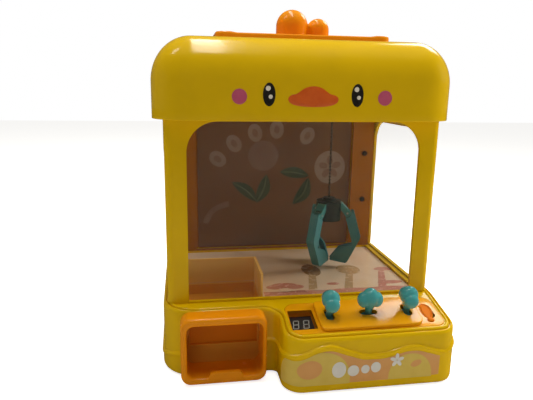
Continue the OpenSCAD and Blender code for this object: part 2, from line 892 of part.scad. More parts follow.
module winch_drum() {
    color("white") translate([crane_x, drum_y, drum_z]) rotate([0, 90, 0]) {
        cylinder(h = 12, r = drum_r, center = true);
        for (s = [-1, 1]) translate([0, 0, s * 5.4]) cylinder(h = 1.4, r = drum_r + 2.6, center = true);
        cylinder(h = 21, r = 1.5, center = true);
    }
}

module winch_motor() {
    color(STEEL) {
        translate([crane_x + 10.7, drum_y - 7, rail_z + 17.2]) cube([7, 14, 22]);
        translate([crane_x + 17.7, drum_y, rail_z + 24]) rotate([0, 90, 0]) cylinder(h = 14, r = 6);
    }
}

// ---------- claw ----------

module hoist_chain() {
    z0 = hub_top_z + bead_r;
    n = floor((chain_top_z - z0) / bead_pitch);
    color("gray") {
        for (i = [0:n]) translate([crane_x, crane_y, z0 + i * bead_pitch]) sphere(bead_r, $fn = 24);
        translate([crane_x, crane_y, z0]) cylinder(h = n * bead_pitch, r = 0.45);
    }
}

// Children drawn in the claw's frame for one arm: X runs outwards from the claw's axis
module at_arm(a) {
    translate([crane_x, crane_y, 0]) rotate(a) children();
}

function unit(v) = v / norm(v);
function left_of(v) = [-v[1], v[0]];

// How far the edge of a strip t thick stands off path point i, mitred between its two legs
function edge_off(path, i, t) =
    let(a = left_of(unit(path[max(i, 1)] - path[max(i, 1) - 1])),
        last = len(path) - 1,
        b = left_of(unit(path[min(i, last - 1) + 1] - path[min(i, last - 1)])))
    (a + b) / (1 + a * b) * t / 2;

// A strip in the arm's plane along path, t thick and w wide
module strip(path, t, w) {
    last = len(path) - 1;
    translate([0, w / 2, 0]) rotate([90, 0, 0]) linear_extrude(w) polygon(concat(
        [for (i = [0:last]) path[i] + edge_off(path, i, t)],
        [for (i = [last:-1:0]) path[i] - edge_off(path, i, t)]));
}

module claw_hub() {
    color(TEAL) difference() {
        union() {
            translate([crane_x, crane_y, 103]) cylinder(h = hub_top_z - 106, r = hub_r);
            translate([crane_x, crane_y, hub_top_z - 3]) cylinder(h = 3, r = 6);
            for (a = arm_angles) at_arm(a) {
                strip([[4, 119.5], [12, 117.5], [claw_pivot_r, pivot_z]], 5.6, arm_w);
                translate([claw_pivot_r, 0, pivot_z]) rotate([90, 0, 0])
                    cylinder(h = arm_w, r = ear_r, center = true);
            }
        }
        for (a = arm_angles) at_arm(a) {
            translate([claw_pivot_r, 0, pivot_z]) rotate([90, 0, 0]) {
                cylinder(h = 5.4, r = 4, center = true);
                cylinder(h = 20, r = claw_pin_r, center = true);
            }
            translate([claw_pivot_r - 3.6, -2.7, pivot_z - 10]) cube([12, 5.4, 10]);
        }
    }
}

module claw_pins() {
    color(STEEL) for (a = arm_angles) at_arm(a) translate([claw_pivot_r, 0, pivot_z])
        rotate([90, 0, 0]) cylinder(h = arm_w + 0.8, r = claw_pin_r, center = true);
}

// Side view of one arm, with a round socket in its upper end that turns about the hub's ear
module arm_side() {
    socket = [for (t = [-95:13:22]) [claw_pivot_r, pivot_z] + arm_socket_r * [cos(t), sin(t)]];
    polygon(concat(arm_front, socket, [[22.2, 112.6], [23.6, 113.4]], arm_back));
}

// Two side walls joined by a web down the back, and a neck with a barrel on the pin
module claw_arm(a) {
    rib = (arm_w - arm_wall) / 2;
    color(TEAL) at_arm(a) difference() {
        union() {
            for (y = [-rib, rib]) translate([0, y + arm_wall / 2, 0]) rotate([90, 0, 0])
                linear_extrude(arm_wall) arm_side();
            intersection() {
                translate([0, arm_w / 2, 0]) rotate([90, 0, 0]) linear_extrude(arm_w) arm_side();
                strip(arm_back, 2 * arm_web, arm_w);
            }
            strip([[claw_pivot_r, pivot_z], [25.3, 107.6]], 3.4, 4.8);
            translate([claw_pivot_r, 0, pivot_z]) rotate([90, 0, 0])
                cylinder(h = 4.8, r = 2.6, center = true);
        }
        translate([claw_pivot_r, 0, pivot_z]) rotate([90, 0, 0])
            cylinder(h = 20, r = claw_pin_r + run, center = true);
        for (side = [-1, 1]) rotate(side * 60)
            translate([-20, side > 0 ? -arm_gap : arm_gap - 20, 55]) cube([40, 20, 12]);
    }
}

module claw_arm_right() { claw_arm(arm_angles[0]); }
module claw_arm_back() { claw_arm(arm_angles[1]); }
module claw_arm_front() { claw_arm(arm_angles[2]); }

// ---------- parts ----------

base_shell();
deck();
base_plate();
rubber_feet();
screws();
battery_door();
batteries();
main_board();
speaker();
power_switch();
rear_socket();
outlet_frame();
outlet_flap();
prize_ramp();
chute_fence();
floor_board();
floor_print();
control_panel();
joystick_plate();
joystick_left();
joystick_middle();
joystick_right();
joystick_brackets();
joystick_pins();
joystick_springs();
control_board();
led_display();
display_lens();
coin_dish();
coin_guide();
front_label();
cabin_lower();
cabin_arch();
front_window();
left_window();
right_window();
rear_frame();
rear_door();
door_card();
door_pins();
ceiling_plate();
side_rails();
lamp_strip();
hood_shell();
top_plate();
top_tuft();
bridge_frame();
bridge_rods();
bridge_wheels_front();
bridge_wheels_rear();
bridge_motor();
trolley_frame();
winch_motor();
winch_drum();
hoist_chain();
claw_hub();
claw_pins();
claw_arm_right();
claw_arm_back();
claw_arm_front();
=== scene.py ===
import math

import bmesh
import bpy
from mathutils import Matrix, Vector


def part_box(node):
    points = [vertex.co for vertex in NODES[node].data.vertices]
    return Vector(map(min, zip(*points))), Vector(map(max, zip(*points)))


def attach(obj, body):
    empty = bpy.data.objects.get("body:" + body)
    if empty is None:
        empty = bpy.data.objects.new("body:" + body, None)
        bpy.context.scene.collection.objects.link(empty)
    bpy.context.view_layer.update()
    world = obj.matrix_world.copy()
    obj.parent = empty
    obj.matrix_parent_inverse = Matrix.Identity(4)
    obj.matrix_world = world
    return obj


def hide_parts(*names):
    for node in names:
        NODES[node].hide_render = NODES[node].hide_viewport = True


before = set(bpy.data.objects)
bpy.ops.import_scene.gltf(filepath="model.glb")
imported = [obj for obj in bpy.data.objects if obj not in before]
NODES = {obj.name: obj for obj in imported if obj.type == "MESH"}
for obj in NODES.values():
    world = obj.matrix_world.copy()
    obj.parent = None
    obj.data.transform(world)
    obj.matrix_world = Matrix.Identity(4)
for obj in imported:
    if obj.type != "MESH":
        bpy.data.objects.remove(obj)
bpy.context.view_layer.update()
MM = 0.001

# ---------------- levels shared with the CAD, in mm
lo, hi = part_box("cabin_lower")
DECK_Z = lo.z / MM
SLOPE_Y = lo.y / MM
lo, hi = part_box("hood_shell")
HOOD_X, HOOD_Y0, HOOD_Y1 = hi.x / MM, lo.y / MM, hi.y / MM
HOOD_Z0, HOOD_Z1 = lo.z / MM, hi.z / MM
DESK_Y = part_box("deck")[0].y / MM
BASE_Y0 = -69.0
DESK_FRONT_Z = 45.0
SLOPE = math.atan((DECK_Z - DESK_FRONT_Z) / (SLOPE_Y - DESK_Y))
MID_Y = (HOOD_Y0 + HOOD_Y1) / 2


# ---------------- camera, light and floor
def link_object(name, data):
    """Puts a new object in the scene."""
    ob = bpy.data.objects.new(name, data)
    bpy.context.scene.collection.objects.link(ob)
    return ob


# place and floor in metres; turn is yaw, pitch and roll in degrees
CAMERA_AT = (-0.09748, -0.44472, 0.22918)
CAMERA_TURN = (9.4628, 12.4446, 0.897)
LENS_MM = 34.66
FLOOR_HALF = 3.0


def set_camera():
    yaw, pitch, roll = (math.radians(a) for a in CAMERA_TURN)
    forward = Vector((math.sin(yaw) * math.cos(pitch), math.cos(yaw) * math.cos(pitch), -math.sin(pitch)))
    level = Vector((math.cos(yaw), -math.sin(yaw), 0))
    over = level.cross(forward)
    right = level * math.cos(roll) + over * math.sin(roll)
    up = over * math.cos(roll) - level * math.sin(roll)
    data = bpy.data.cameras.new("camera")
    data.lens = LENS_MM
    data.sensor_width = 36
    data.clip_start = 0.01
    cam = link_object("camera", data)
    cam.matrix_world = Matrix((
        (right.x, up.x, -forward.x, CAMERA_AT[0]),
        (right.y, up.y, -forward.y, CAMERA_AT[1]),
        (right.z, up.z, -forward.z, CAMERA_AT[2]),
        (0, 0, 0, 1)))
    bpy.context.scene.camera = cam


def area_light(name, at, aim, size, power, colour=(1, 1, 1), gloss=True):
    data = bpy.data.lights.new(name, "AREA")
    data.shape = "RECTANGLE"
    data.size, data.size_y = size
    data.energy = power
    data.color = colour
    lamp = link_object(name, data)
    lamp.location = at
    lamp.rotation_euler = (Vector(aim) - Vector(at)).to_track_quat("-Z", "Y").to_euler()
    lamp.visible_glossy = gloss


set_camera()
bpy.context.scene.view_settings.view_transform = "Standard"
world = bpy.data.worlds.new("studio")
bpy.context.scene.world = world
world.use_nodes = True
tree = world.node_tree
sky = tree.nodes["Background"]
sky.inputs["Color"].default_value = (1, 0.92, 0.76, 1)
sky.inputs["Strength"].default_value = 0.12
# the backdrop itself is white, while the room around gives a soft low light
backdrop = tree.nodes.new("ShaderNodeBackground")
backdrop.inputs["Color"].default_value = (1, 1, 1, 1)
backdrop.inputs["Strength"].default_value = 1.0
seen = tree.nodes.new("ShaderNodeLightPath")
pick = tree.nodes.new("ShaderNodeMixShader")
tree.links.new(seen.outputs["Is Camera Ray"], pick.inputs["Fac"])
tree.links.new(sky.outputs[0], pick.inputs[1])
tree.links.new(backdrop.outputs[0], pick.inputs[2])
tree.links.new(pick.outputs[0], tree.nodes["World Output"].inputs["Surface"])
area_light("overhead", (0.0, 0.10, 1.25), (0, 0.04, 0.1), (1.4, 1.0), 10.4, (1, 0.96, 0.85), gloss=False)
area_light("skylight_left", (-0.60, 0.0, 1.05), (0, -0.04, 0.1), (0.14, 0.26), 0.8, (1, 0.98, 0.95))
area_light("skylight_middle", (-0.04, 0.12, 1.15), (-0.04, 0.11, 0.2), (0.10, 0.95), 3.6, (1, 0.98, 0.95))
area_light("front_fill", (-0.35, -1.0, 0.55), (0, -0.05, 0.12), (0.6, 0.4), 0.22, (1, 0.95, 0.82), gloss=False)
area_light("window_back_right", (0.495, 0.388, 0.686), (0.1, -0.09, 0.05), (0.30, 0.25), 1.5)
area_light("side_left", (-0.80, 0.0, 0.30), (0, 0.03, 0.10), (0.4, 0.35), 0.3, (1, 0.95, 0.82), gloss=False)
area_light("side_right", (0.80, 0.03, 0.46), (0, 0.03, 0.08), (0.4, 0.35), 4.6, (1, 0.96, 0.86), gloss=False)


# ---------------- materials
class Nodes:
    """Shorthand for building one material's node tree."""

    def __init__(self, name):
        self.mat = bpy.data.materials.new(name)
        self.mat.use_nodes = True
        self.tree = self.mat.node_tree
        self.bsdf = self.tree.nodes["Principled BSDF"]
        self.coord = self.tree.nodes.new("ShaderNodeTexCoord").outputs["Object"]

    def link(self, a, b):
        self.tree.links.new(a, b)

    def set(self, key, value):
        """Sets one of the shader's own sockets."""
        self.bsdf.inputs[key].default_value = value

    def noise(self, scale, detail=3.0, rough=0.5, stretch=None):
        n = self.tree.nodes.new("ShaderNodeTexNoise")
        n.inputs["Scale"].default_value = scale
        n.inputs["Detail"].default_value = detail
        n.inputs["Roughness"].default_value = rough
        src = self.coord
        if stretch:
            m = self.tree.nodes.new("ShaderNodeMapping")
            m.inputs["Scale"].default_value = stretch
            self.link(src, m.inputs["Vector"])
            src = m.outputs["Vector"]
        self.link(src, n.inputs["Vector"])
        return n.outputs["Fac"]

    def ramp(self, fac, stops):
        r = self.tree.nodes.new("ShaderNodeValToRGB")
        e = r.color_ramp.elements
        while len(e) < len(stops):
            e.new(0.5)
        for el, (pos, col) in zip(e, stops):
            el.position = pos
            el.color = (*col, 1)
        self.link(fac, r.inputs["Fac"])
        return r.outputs["Color"]

    def span(self, fac, lo, hi, a=0.3, b=0.7):
        m = self.tree.nodes.new("ShaderNodeMapRange")
        for key, val in (("From Min", a), ("From Max", b), ("To Min", lo), ("To Max", hi)):
            m.inputs[key].default_value = val
        self.link(fac, m.inputs["Value"])
        return m.outputs["Result"]

    def calc(self, operation, *values, clamp=False):
        """A Math node over sockets and numbers."""
        m = self.tree.nodes.new("ShaderNodeMath")
        m.operation = operation
        m.use_clamp = clamp
        for entry, value in zip(m.inputs, values):
            if isinstance(value, float):
                entry.default_value = value
            else:
                self.link(value, entry)
        return m.outputs[0]

    def bump(self, height, distance, strength, under=None):
        b = self.tree.nodes.new("ShaderNodeBump")
        b.inputs["Distance"].default_value = distance
        b.inputs["Strength"].default_value = strength
        self.link(height, b.inputs["Height"])
        if under is not None:
            self.link(under, b.inputs["Normal"])
        self.link(b.outputs["Normal"], self.bsdf.inputs["Normal"])
        return b.outputs["Normal"]


def shade(colour, f):
    return tuple(min(1.0, c * f) for c in colour)


def plastic(name, colour, rough, coat, grain=0.00003, gloss=0.4):
    """Moulded plastic: slight flow marks in the colour, handling smudges in the gloss, a fine skin."""
    n = Nodes(name)
    flow = n.noise(22, 4, 0.6)
    n.link(n.ramp(flow, [(0.3, shade(colour, 0.95)), (0.52, colour), (0.72, shade(colour, 1.03))]),
           n.bsdf.inputs["Base Color"])
    smudge = n.noise(55, 5, 0.65)
    n.link(n.span(smudge, rough * 0.8, rough * 1.35), n.bsdf.inputs["Roughness"])
    n.set("Coat Weight", coat)
    n.set("Coat Roughness", 0.08)
    n.set("Specular IOR Level", gloss)
    wave = n.bump(n.noise(38, 2), 0.00025, 0.12)
    n.bump(n.noise(1500, 2), grain, 0.5, under=wave)
    return n.mat


def metal(name, colour, rough):
    """Brushed metal, streaked along z."""
    n = Nodes(name)
    n.set("Metallic", 1.0)
    brushed = n.noise(400, 4, 0.6, stretch=(1, 1, 0.15))
    n.link(n.ramp(brushed, [(0.3, shade(colour, 0.75)), (0.7, shade(colour, 1.1))]), n.bsdf.inputs["Base Color"])
    n.link(n.span(brushed, rough * 0.7, rough * 1.4), n.bsdf.inputs["Roughness"])
    n.bump(brushed, 0.00002, 0.6)
    return n.mat


def printed(name, colours, scale, rough, coat=0.0):
    """Ink on card or film: soft colour drift, a fine tooth and a satin face."""
    n = Nodes(name)
    step = 1.0 / max(1, len(colours) - 1)
    stops = [(0.3 + 0.4 * i * step, c) for i, c in enumerate(colours)]
    n.link(n.ramp(n.noise(scale, 4, 0.6), stops), n.bsdf.inputs["Base Color"])
    n.link(n.span(n.noise(180, 3), rough * 0.85, rough * 1.2), n.bsdf.inputs["Roughness"])
    n.bump(n.noise(2200, 2), 0.00002, 0.4)
    n.set("Coat Weight", coat)
    return n.mat


def pane(name, tint, haze, rough=0.04, shine=0.35):
    """Thin clear sheet: see-through, with a faint haze of dust and a mirror-like skin."""
    n = Nodes(name)
    n.set("Base Color", (*tint, 1))
    n.set("Roughness", rough)
    n.set("Specular IOR Level", 0.5)
    edge = n.tree.nodes.new("ShaderNodeLayerWeight")
    edge.inputs["Blend"].default_value = 0.5
    mirror = n.calc("MULTIPLY_ADD", n.calc("POWER", edge.outputs["Facing"], 4.0), shine, 0.004)
    dust = n.span(n.noise(34, 5, 0.65), haze * 0.5, haze * 1.6)
    clear = n.tree.nodes.new("ShaderNodeBsdfTransparent")
    mix = n.tree.nodes.new("ShaderNodeMixShader")
    n.link(n.calc("ADD", mirror, dust, clamp=True), mix.inputs["Fac"])
    n.link(clear.outputs[0], mix.inputs[1])
    n.link(n.bsdf.outputs[0], mix.inputs[2])
    n.link(mix.outputs[0], n.tree.nodes["Material Output"].inputs["Surface"])
    return n.mat


def painted_shade_by_radius(name, colour, shadow_colour, middle, radius):
    """Satin plastic painted a near-black shade colour within a radius of an upright axis, standing in for shadow on
    the body, and its own colour beyond it.
    """
    mat = plastic(name, colour, 0.36, 0.1)
    tree = mat.node_tree
    bsdf = tree.nodes["Principled BSDF"]
    outer = bsdf.inputs["Base Color"].links[0].from_socket

    def measure(operation, source, value):
        v = tree.nodes.new("ShaderNodeVectorMath")
        v.operation = operation
        v.inputs[1].default_value = value
        tree.links.new(source, v.inputs[0])
        return v.outputs

    flat = measure("MULTIPLY", tree.nodes["Texture Coordinate"].outputs["Object"], (1, 1, 0))["Vector"]
    away = measure("DISTANCE", flat, (middle[0] * MM, middle[1] * MM, 0))["Value"]
    painted_shade_mask = tree.nodes.new("ShaderNodeMapRange")
    painted_shade_mask.inputs["From Min"].default_value = radius * MM
    painted_shade_mask.inputs["From Max"].default_value = (radius + 0.4) * MM
    tree.links.new(away, painted_shade_mask.inputs["Value"])
    # painted shade colour inside the radius, the plastic's own colour beyond it
    mix = tree.nodes.new("ShaderNodeMix")
    mix.data_type = "RGBA"
    mix.inputs["A"].default_value = (*shadow_colour, 1)
    tree.links.new(painted_shade_mask.outputs["Result"], mix.inputs["Factor"])
    tree.links.new(outer, mix.inputs["B"])
    tree.links.new(mix.outputs["Result"], bsdf.inputs["Base Color"])
    return mat


def studio_paper():
    """White seamless paper that burns out to the white backdrop, with a faint tooth; to reflection rays it is a dark
    brown, painted shade that dims its reflections on the toy.
    """
    n = Nodes("studio_paper")
    n.link(n.ramp(n.noise(3, 2), [(0.3, (0.90, 0.90, 0.90)), (0.7, (0.93, 0.93, 0.93))]), n.bsdf.inputs["Base Color"])
    n.set("Roughness", 0.9)
    n.set("Specular IOR Level", 0.1)
    n.set("Emission Color", (1, 1, 1, 1))
    seen = n.tree.nodes.new("ShaderNodeLightPath")
    n.link(n.span(seen.outputs["Is Camera Ray"], 0.0, 0.80, 0.0, 1.0), n.bsdf.inputs["Emission Strength"])
    # to reflection rays the paper is dark brown: painted shade over its reflections on the toy
    reflection_shade = n.tree.nodes.new("ShaderNodeMix")
    reflection_shade.data_type = "RGBA"
    reflection_shade.inputs["B"].default_value = (0.16, 0.13, 0.07, 1)
    n.link(seen.outputs["Is Glossy Ray"], reflection_shade.inputs["Factor"])
    n.link(n.bsdf.inputs["Base Color"].links[0].from_socket, reflection_shade.inputs["A"])
    n.link(reflection_shade.outputs["Result"], n.bsdf.inputs["Base Color"])
    n.bump(n.noise(900, 2), 0.0001, 0.3)
    return n.mat


lo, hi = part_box("hoist_chain")
CLAW_X, CLAW_Y = (lo.x + hi.x) / 2 / MM, (lo.y + hi.y) / 2 / MM
M = {
    "yellow": plastic("yellow_gloss", (0.79, 0.50, 0.001), 0.18, 0.25, gloss=0.22),
    "orange": plastic("orange_gloss", (0.90, 0.31, 0.003), 0.22, 0.25, gloss=0.22),
    "panel": plastic("panel_orange", (0.90, 0.40, 0.003), 0.18, 0.3, gloss=0.3),
    "flap": plastic("flap_orange", (0.50, 0.13, 0.001), 0.45, 0.0, gloss=0.06),
    "cladding": plastic("cladding_orange", (0.36, 0.115, 0.001), 0.4, 0.0, gloss=0.12),
    "fence": plastic("fence_orange", (0.92, 0.55, 0.14), 0.35, 0.0, gloss=0.2),
    "ramp": plastic("ramp_orange", (0.84, 0.38, 0.05), 0.35, 0.0, gloss=0.12),
    "dish": plastic("dish_orange", (0.78, 0.20, 0.003), 0.5, 0.0, gloss=0.15),
    "teal": plastic("teal_gloss", (0.065, 0.35, 0.365), 0.13, 0.5),
    "teal_matt": plastic("teal_satin", (0.05, 0.22, 0.24), 0.36, 0.1),
    "grey": plastic("grey_plastic", (0.10, 0.10, 0.105), 0.45, 0.0),
    "black": plastic("black_plastic", (0.012, 0.012, 0.013), 0.38, 0.1),
    "rubber": plastic("rubber", (0.02, 0.02, 0.02), 0.75, 0.0, grain=0.00008),
    "white": plastic("white_plastic", (0.75, 0.74, 0.70), 0.3, 0.1),
    "wrap": plastic("battery_wrap", (0.03, 0.10, 0.06), 0.3, 0.2),
    "board": plastic("circuit_board", (0.01, 0.12, 0.03), 0.4, 0.2),
    "steel": metal("steel", (0.55, 0.55, 0.56), 0.32),
    "chain": metal("dark_chain", (0.10, 0.095, 0.09), 0.35),
    "smoke": plastic("smoked_lens", (0.03, 0.032, 0.036), 0.16, 0.6),
    "digit": plastic("digit_outline", (0.50, 0.52, 0.50), 0.4, 0.0),
    # claw hub: teal beyond the shoulders' radius, near-black painted shade inside it standing in for the shadow on
    # its body
    "hub": painted_shade_by_radius("claw_hub_teal_painted_shade", (0.05, 0.22, 0.22), (0.010, 0.022, 0.020), (CLAW_X, CLAW_Y), 12.3),
    "screw": metal("dark_screw", (0.09, 0.08, 0.07), 0.4),
    "clear": pane("clear_sheet", (0.9, 0.9, 0.88), 0.012),
    "clear_side": pane("side_pane", (0.95, 0.95, 0.93), 0.003, 0.04, 0.12),
    "card": printed("card_print", [(0.155, 0.058, 0.016), (0.19, 0.08, 0.026), (0.15, 0.07, 0.03)], 9, 0.4, 0.2),
    "card_soft": printed("card_soft_ink", [(0.20, 0.105, 0.065), (0.24, 0.13, 0.085)], 60, 0.4),
    "card_pale": printed("card_pale_ink", [(0.27, 0.175, 0.125), (0.32, 0.215, 0.16)], 60, 0.4),
    "leaf": printed("leaf_ink", [(0.035, 0.055, 0.02), (0.06, 0.085, 0.035)], 150, 0.4),
    "leaf_rib": printed("leaf_rib_ink", [(0.12, 0.14, 0.07), (0.16, 0.17, 0.09)], 150, 0.4),
    "floor": printed("floor_print", [(0.72, 0.52, 0.36), (0.80, 0.62, 0.46), (0.74, 0.56, 0.36)], 14, 0.22, 0.3),
    "floor_pink": printed("floor_pink_ink", [(0.55, 0.22, 0.17), (0.64, 0.33, 0.25)], 50, 0.25, 0.3),
    "floor_brown": printed("floor_brown_ink", [(0.26, 0.14, 0.07), (0.36, 0.22, 0.12)], 50, 0.25, 0.3),
    "floor_tan": printed("floor_tan_ink", [(0.48, 0.31, 0.16), (0.56, 0.38, 0.22)], 50, 0.25, 0.3),
    "label_yellow": printed("label_yellow_ink", [(0.70, 0.50, 0.07), (0.76, 0.56, 0.10)], 70, 0.38, 0.2),
    "label_orange": printed("label_orange_ink", [(0.72, 0.34, 0.09), (0.78, 0.39, 0.12)], 70, 0.38, 0.2),
    "label_white": printed("label_white_ink", [(0.72, 0.70, 0.66), (0.80, 0.78, 0.74)], 90, 0.38, 0.2),
    "cheek": printed("cheek_ink", [(0.54, 0.075, 0.17), (0.60, 0.10, 0.20)], 200, 0.35, 0.3),
    "beak": printed("beak_ink", [(0.72, 0.10, 0.004), (0.78, 0.13, 0.008)], 200, 0.35, 0.3),
    "eye": printed("eye_ink", [(0.008, 0.007, 0.006), (0.014, 0.012, 0.010)], 200, 0.25, 0.4),
    "glint": printed("glint_ink", [(0.80, 0.74, 0.62), (0.86, 0.80, 0.70)], 200, 0.35, 0.3),
    "paper": studio_paper(),
}


# ---------------- mesh building
def turn_out(me):
    """Turns a closed mesh's faces outwards."""
    bm = bmesh.new()
    bm.from_mesh(me)
    bmesh.ops.recalc_face_normals(bm, faces=bm.faces)
    bm.to_mesh(me)
    bm.free()


def mesh(name, verts, faces, mat, body="root", sharp=32):
    """An object from points in mm that rides on a body; edges past sharp degrees stay crisp."""
    me = bpy.data.meshes.new(name)
    me.from_pydata([Vector(v) * MM for v in verts], [], faces)
    me.validate()
    turn_out(me)
    for p in me.polygons:
        p.use_smooth = True
    me.set_sharp_from_angle(angle=math.radians(sharp))
    me.materials.append(mat)
    ob = link_object(name, me)
    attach(ob, body)
    return ob


def skin(rings, close_v=False, caps=False):
    """Vertices and faces of a surface through closed rings of points."""
    n = len(rings[0])
    verts = [p for ring in rings for p in ring]
    faces = []
    rows = len(rings)
    for i in range(rows if close_v else rows - 1):
        a, b = i * n, (i + 1) % rows * n
        for j in range(n):
            k = (j + 1) % n
            faces.append((a + j, a + k, b + k, b + j))
    if caps:
        faces.append(tuple(range(n)))
        faces.append(tuple((rows - 1) * n + j for j in range(n)))
    return verts, faces


def join(parts):
    """Several parts as one list of vertices and one of faces."""
    verts, faces = [], []
    for v, f in parts:
        base = len(verts)
        verts += v
        faces += [tuple(i + base for i in face) for face in f]
    return verts, faces


def baked(ob):
    """Applies an object's modifiers to its mesh."""
    graph = bpy.context.evaluated_depsgraph_get()
    me = bpy.data.meshes.new_from_object(ob.evaluated_get(graph))
    ob.modifiers.clear()
    ob.data = me


def bevel(ob, width):
    """Softens a piece's sharp edges."""
    m = ob.modifiers.new("edge", "BEVEL")
    m.width = width * MM
    m.segments = 2
    m.limit_method = "ANGLE"
    m.angle_limit = math.radians(45)
    m.harden_normals = False


def cut(ob, verts_faces, op="DIFFERENCE"):
    """Cuts a closed mesh out of ob, or with INTERSECT keeps what is inside it."""
    me = bpy.data.meshes.new("cutter")
    me.from_pydata([Vector(v) * MM for v in verts_faces[0]], [], verts_faces[1])
    turn_out(me)
    tool = link_object("cutter", me)
    m = ob.modifiers.new("cut", "BOOLEAN")
    m.operation = op
    m.solver = "EXACT"
    m.object = tool
    baked(ob)
    bpy.data.objects.remove(tool)


# Paths are lists of (x, y, nx, ny), going round anticlockwise with the normal outwards
def line_to(x0, y0, x1, y1, step=3.0):
    length = math.hypot(x1 - x0, y1 - y0)
    if length < 0.001:
        return []
    n = max(1, int(length / step))
    nx, ny = (y1 - y0) / length, -(x1 - x0) / length
    return [(x0 + (x1 - x0) * i / n, y0 + (y1 - y0) * i / n, nx, ny) for i in range(n)]


def arc_to(cx, cy, r, a0, a1, step=6.0):
    n = max(2, int(abs(a1 - a0) / step))
    out = []
    sign = 1 if a1 > a0 else -1
    for i in range(n):
        a = math.radians(a0 + (a1 - a0) * i / n)
        out.append((cx + r * math.cos(a), cy + r * math.sin(a), sign * math.cos(a), sign * math.sin(a)))
    return out


def round_rect(x0, y0, x1, y1, r, step=4.0, turn=7.5):
    return (line_to(x0 + r, y0, x1 - r, y0, step) + arc_to(x1 - r, y0 + r, r, 270, 360, turn)
            + line_to(x1, y0 + r, x1, y1 - r, step) + arc_to(x1 - r, y1 - r, r, 0, 90, turn)
            + line_to(x1 - r, y1, x0 + r, y1, step) + arc_to(x0 + r, y1 - r, r, 90, 180, turn)
            + line_to(x0, y1 - r, x0, y0 + r, step) + arc_to(x0 + r, y0 + r, r, 180, 270, turn))


def stood_off(path, off):
    """The path's points moved out along their normals."""
    return [(x + nx * off, y + ny * off) for x, y, nx, ny in path]


def desk(u, v, w):
    """A point given in the sloping desk's own frame."""
    return (u, SLOPE_Y + v * math.cos(SLOPE) - w * math.sin(SLOPE),
            DECK_Z + v * math.sin(SLOPE) + w * math.cos(SLOPE))


def desk_plate(path, w0, w1, edge, steps):
    """A closed plate on the desk, its top edge rounded and its bottom edge eased."""
    prof = [(-0.25, w0), (0.0, w0 + 0.25)]
    for i in range(steps + 1):
        a = math.pi / 2 * i / steps
        prof.append((-edge * (1 - math.cos(a)), w1 - edge * (1 - math.sin(a))))
    return skin([[desk(x, y, w) for x, y in stood_off(path, o)] for o, w in prof], caps=True)


def lengths(points):
    """Distance along a line of points, at each of them."""
    run = [0.0]
    for a, b in zip(points, points[1:]):
        run.append(run[-1] + math.hypot(a[0] - b[0], a[1] - b[1]))
    return run


def ring_loop(cx, cy, rx, ry, n=40, turn=0.0):
    """Points round an ellipse."""
    out = []
    for i in range(n):
        a = 2 * math.pi * i / n
        dx, dy = rx * math.cos(a), ry * math.sin(a)
        out.append((cx + dx * math.cos(turn) - dy * math.sin(turn), cy + dx * math.sin(turn) + dy * math.cos(turn)))
    return out


def shrunk(loop, k):
    """A loop scaled about its middle."""
    mx = sum(p[0] for p in loop) / len(loop)
    my = sum(p[1] for p in loop) / len(loop)
    return [(mx + (x - mx) * k, my + (y - my) * k) for x, y in loop]


def raised(loops, lift, to):
    """Thin closed plates over flat loops, each a hair higher than the last; to(a, b, height) places a point."""
    parts = []
    for i, loop in enumerate(loops):
        face = lift + 0.015 * i
        parts.append(skin([[to(a, b, d) for a, b in shrunk(loop, k)]
                           for k, d in ((1, 0.0), (1, face), (0.5, face))], caps=True))
    return join(parts)


def ease(t):
    """A smooth step from 0 to 1."""
    t = max(0.0, min(1.0, t))
    return t * t * (3 - 2 * t)


# ---------------- base
BASE_PATH = (line_to(-87, -69, -30, -69) + arc_to(-30, -75, 6, 90, 0, 10)
             + line_to(-24, -75, -24, -89) + arc_to(-9, -89, 15, 180, 270)
             + line_to(-9, -104, 100, -104) + arc_to(100, -89, 15, 270, 360)
             + line_to(115, -89, 115, 87) + arc_to(101, 87, 14, 0, 90)
             + line_to(101, 101, -101, 101) + arc_to(-101, 87, 14, 90, 180)
             + line_to(-115, 87, -115, -41) + arc_to(-87, -41, 28, 180, 270))


def top_at(x, y):
    """Height of the base's top surface."""
    d = SLOPE_Y - y
    drop = (d + math.sqrt(d * d + 3)) / 2 * math.tan(SLOPE)
    return DECK_Z - drop * ease((x + 34) / 10)


# Wave line round the skirt: height at points of the outline, in order along the path
WAVE = [(-87, -69, 22), (-60, -69, 26), (-31, -69, 29.5), (-24, -76, 28), (-24, -86, 28.6), (-22.7, -95, 31),
        (-16, -102.5, 31.4), (-9, -104, 33.6), (0.4, -104, 37.5), (10.2, -104, 38.9), (25.3, -104, 34),
        (40.7, -104, 29.7), (56, -104, 29.9), (69.4, -104, 33.9), (79.8, -104, 34.4), (92.3, -104, 31.2),
        (103, -103.6, 28.1), (112, -98, 31), (115, -80, 36), (115, -50, 30), (115, -20, 24), (115, 80, 24),
        (0, 101, 24), (-115, 80, 24), (-115, 20, 17), (-115, -41, 12.5), (-112.7, -52, 15.5), (-103, -63.5, 19.5)]


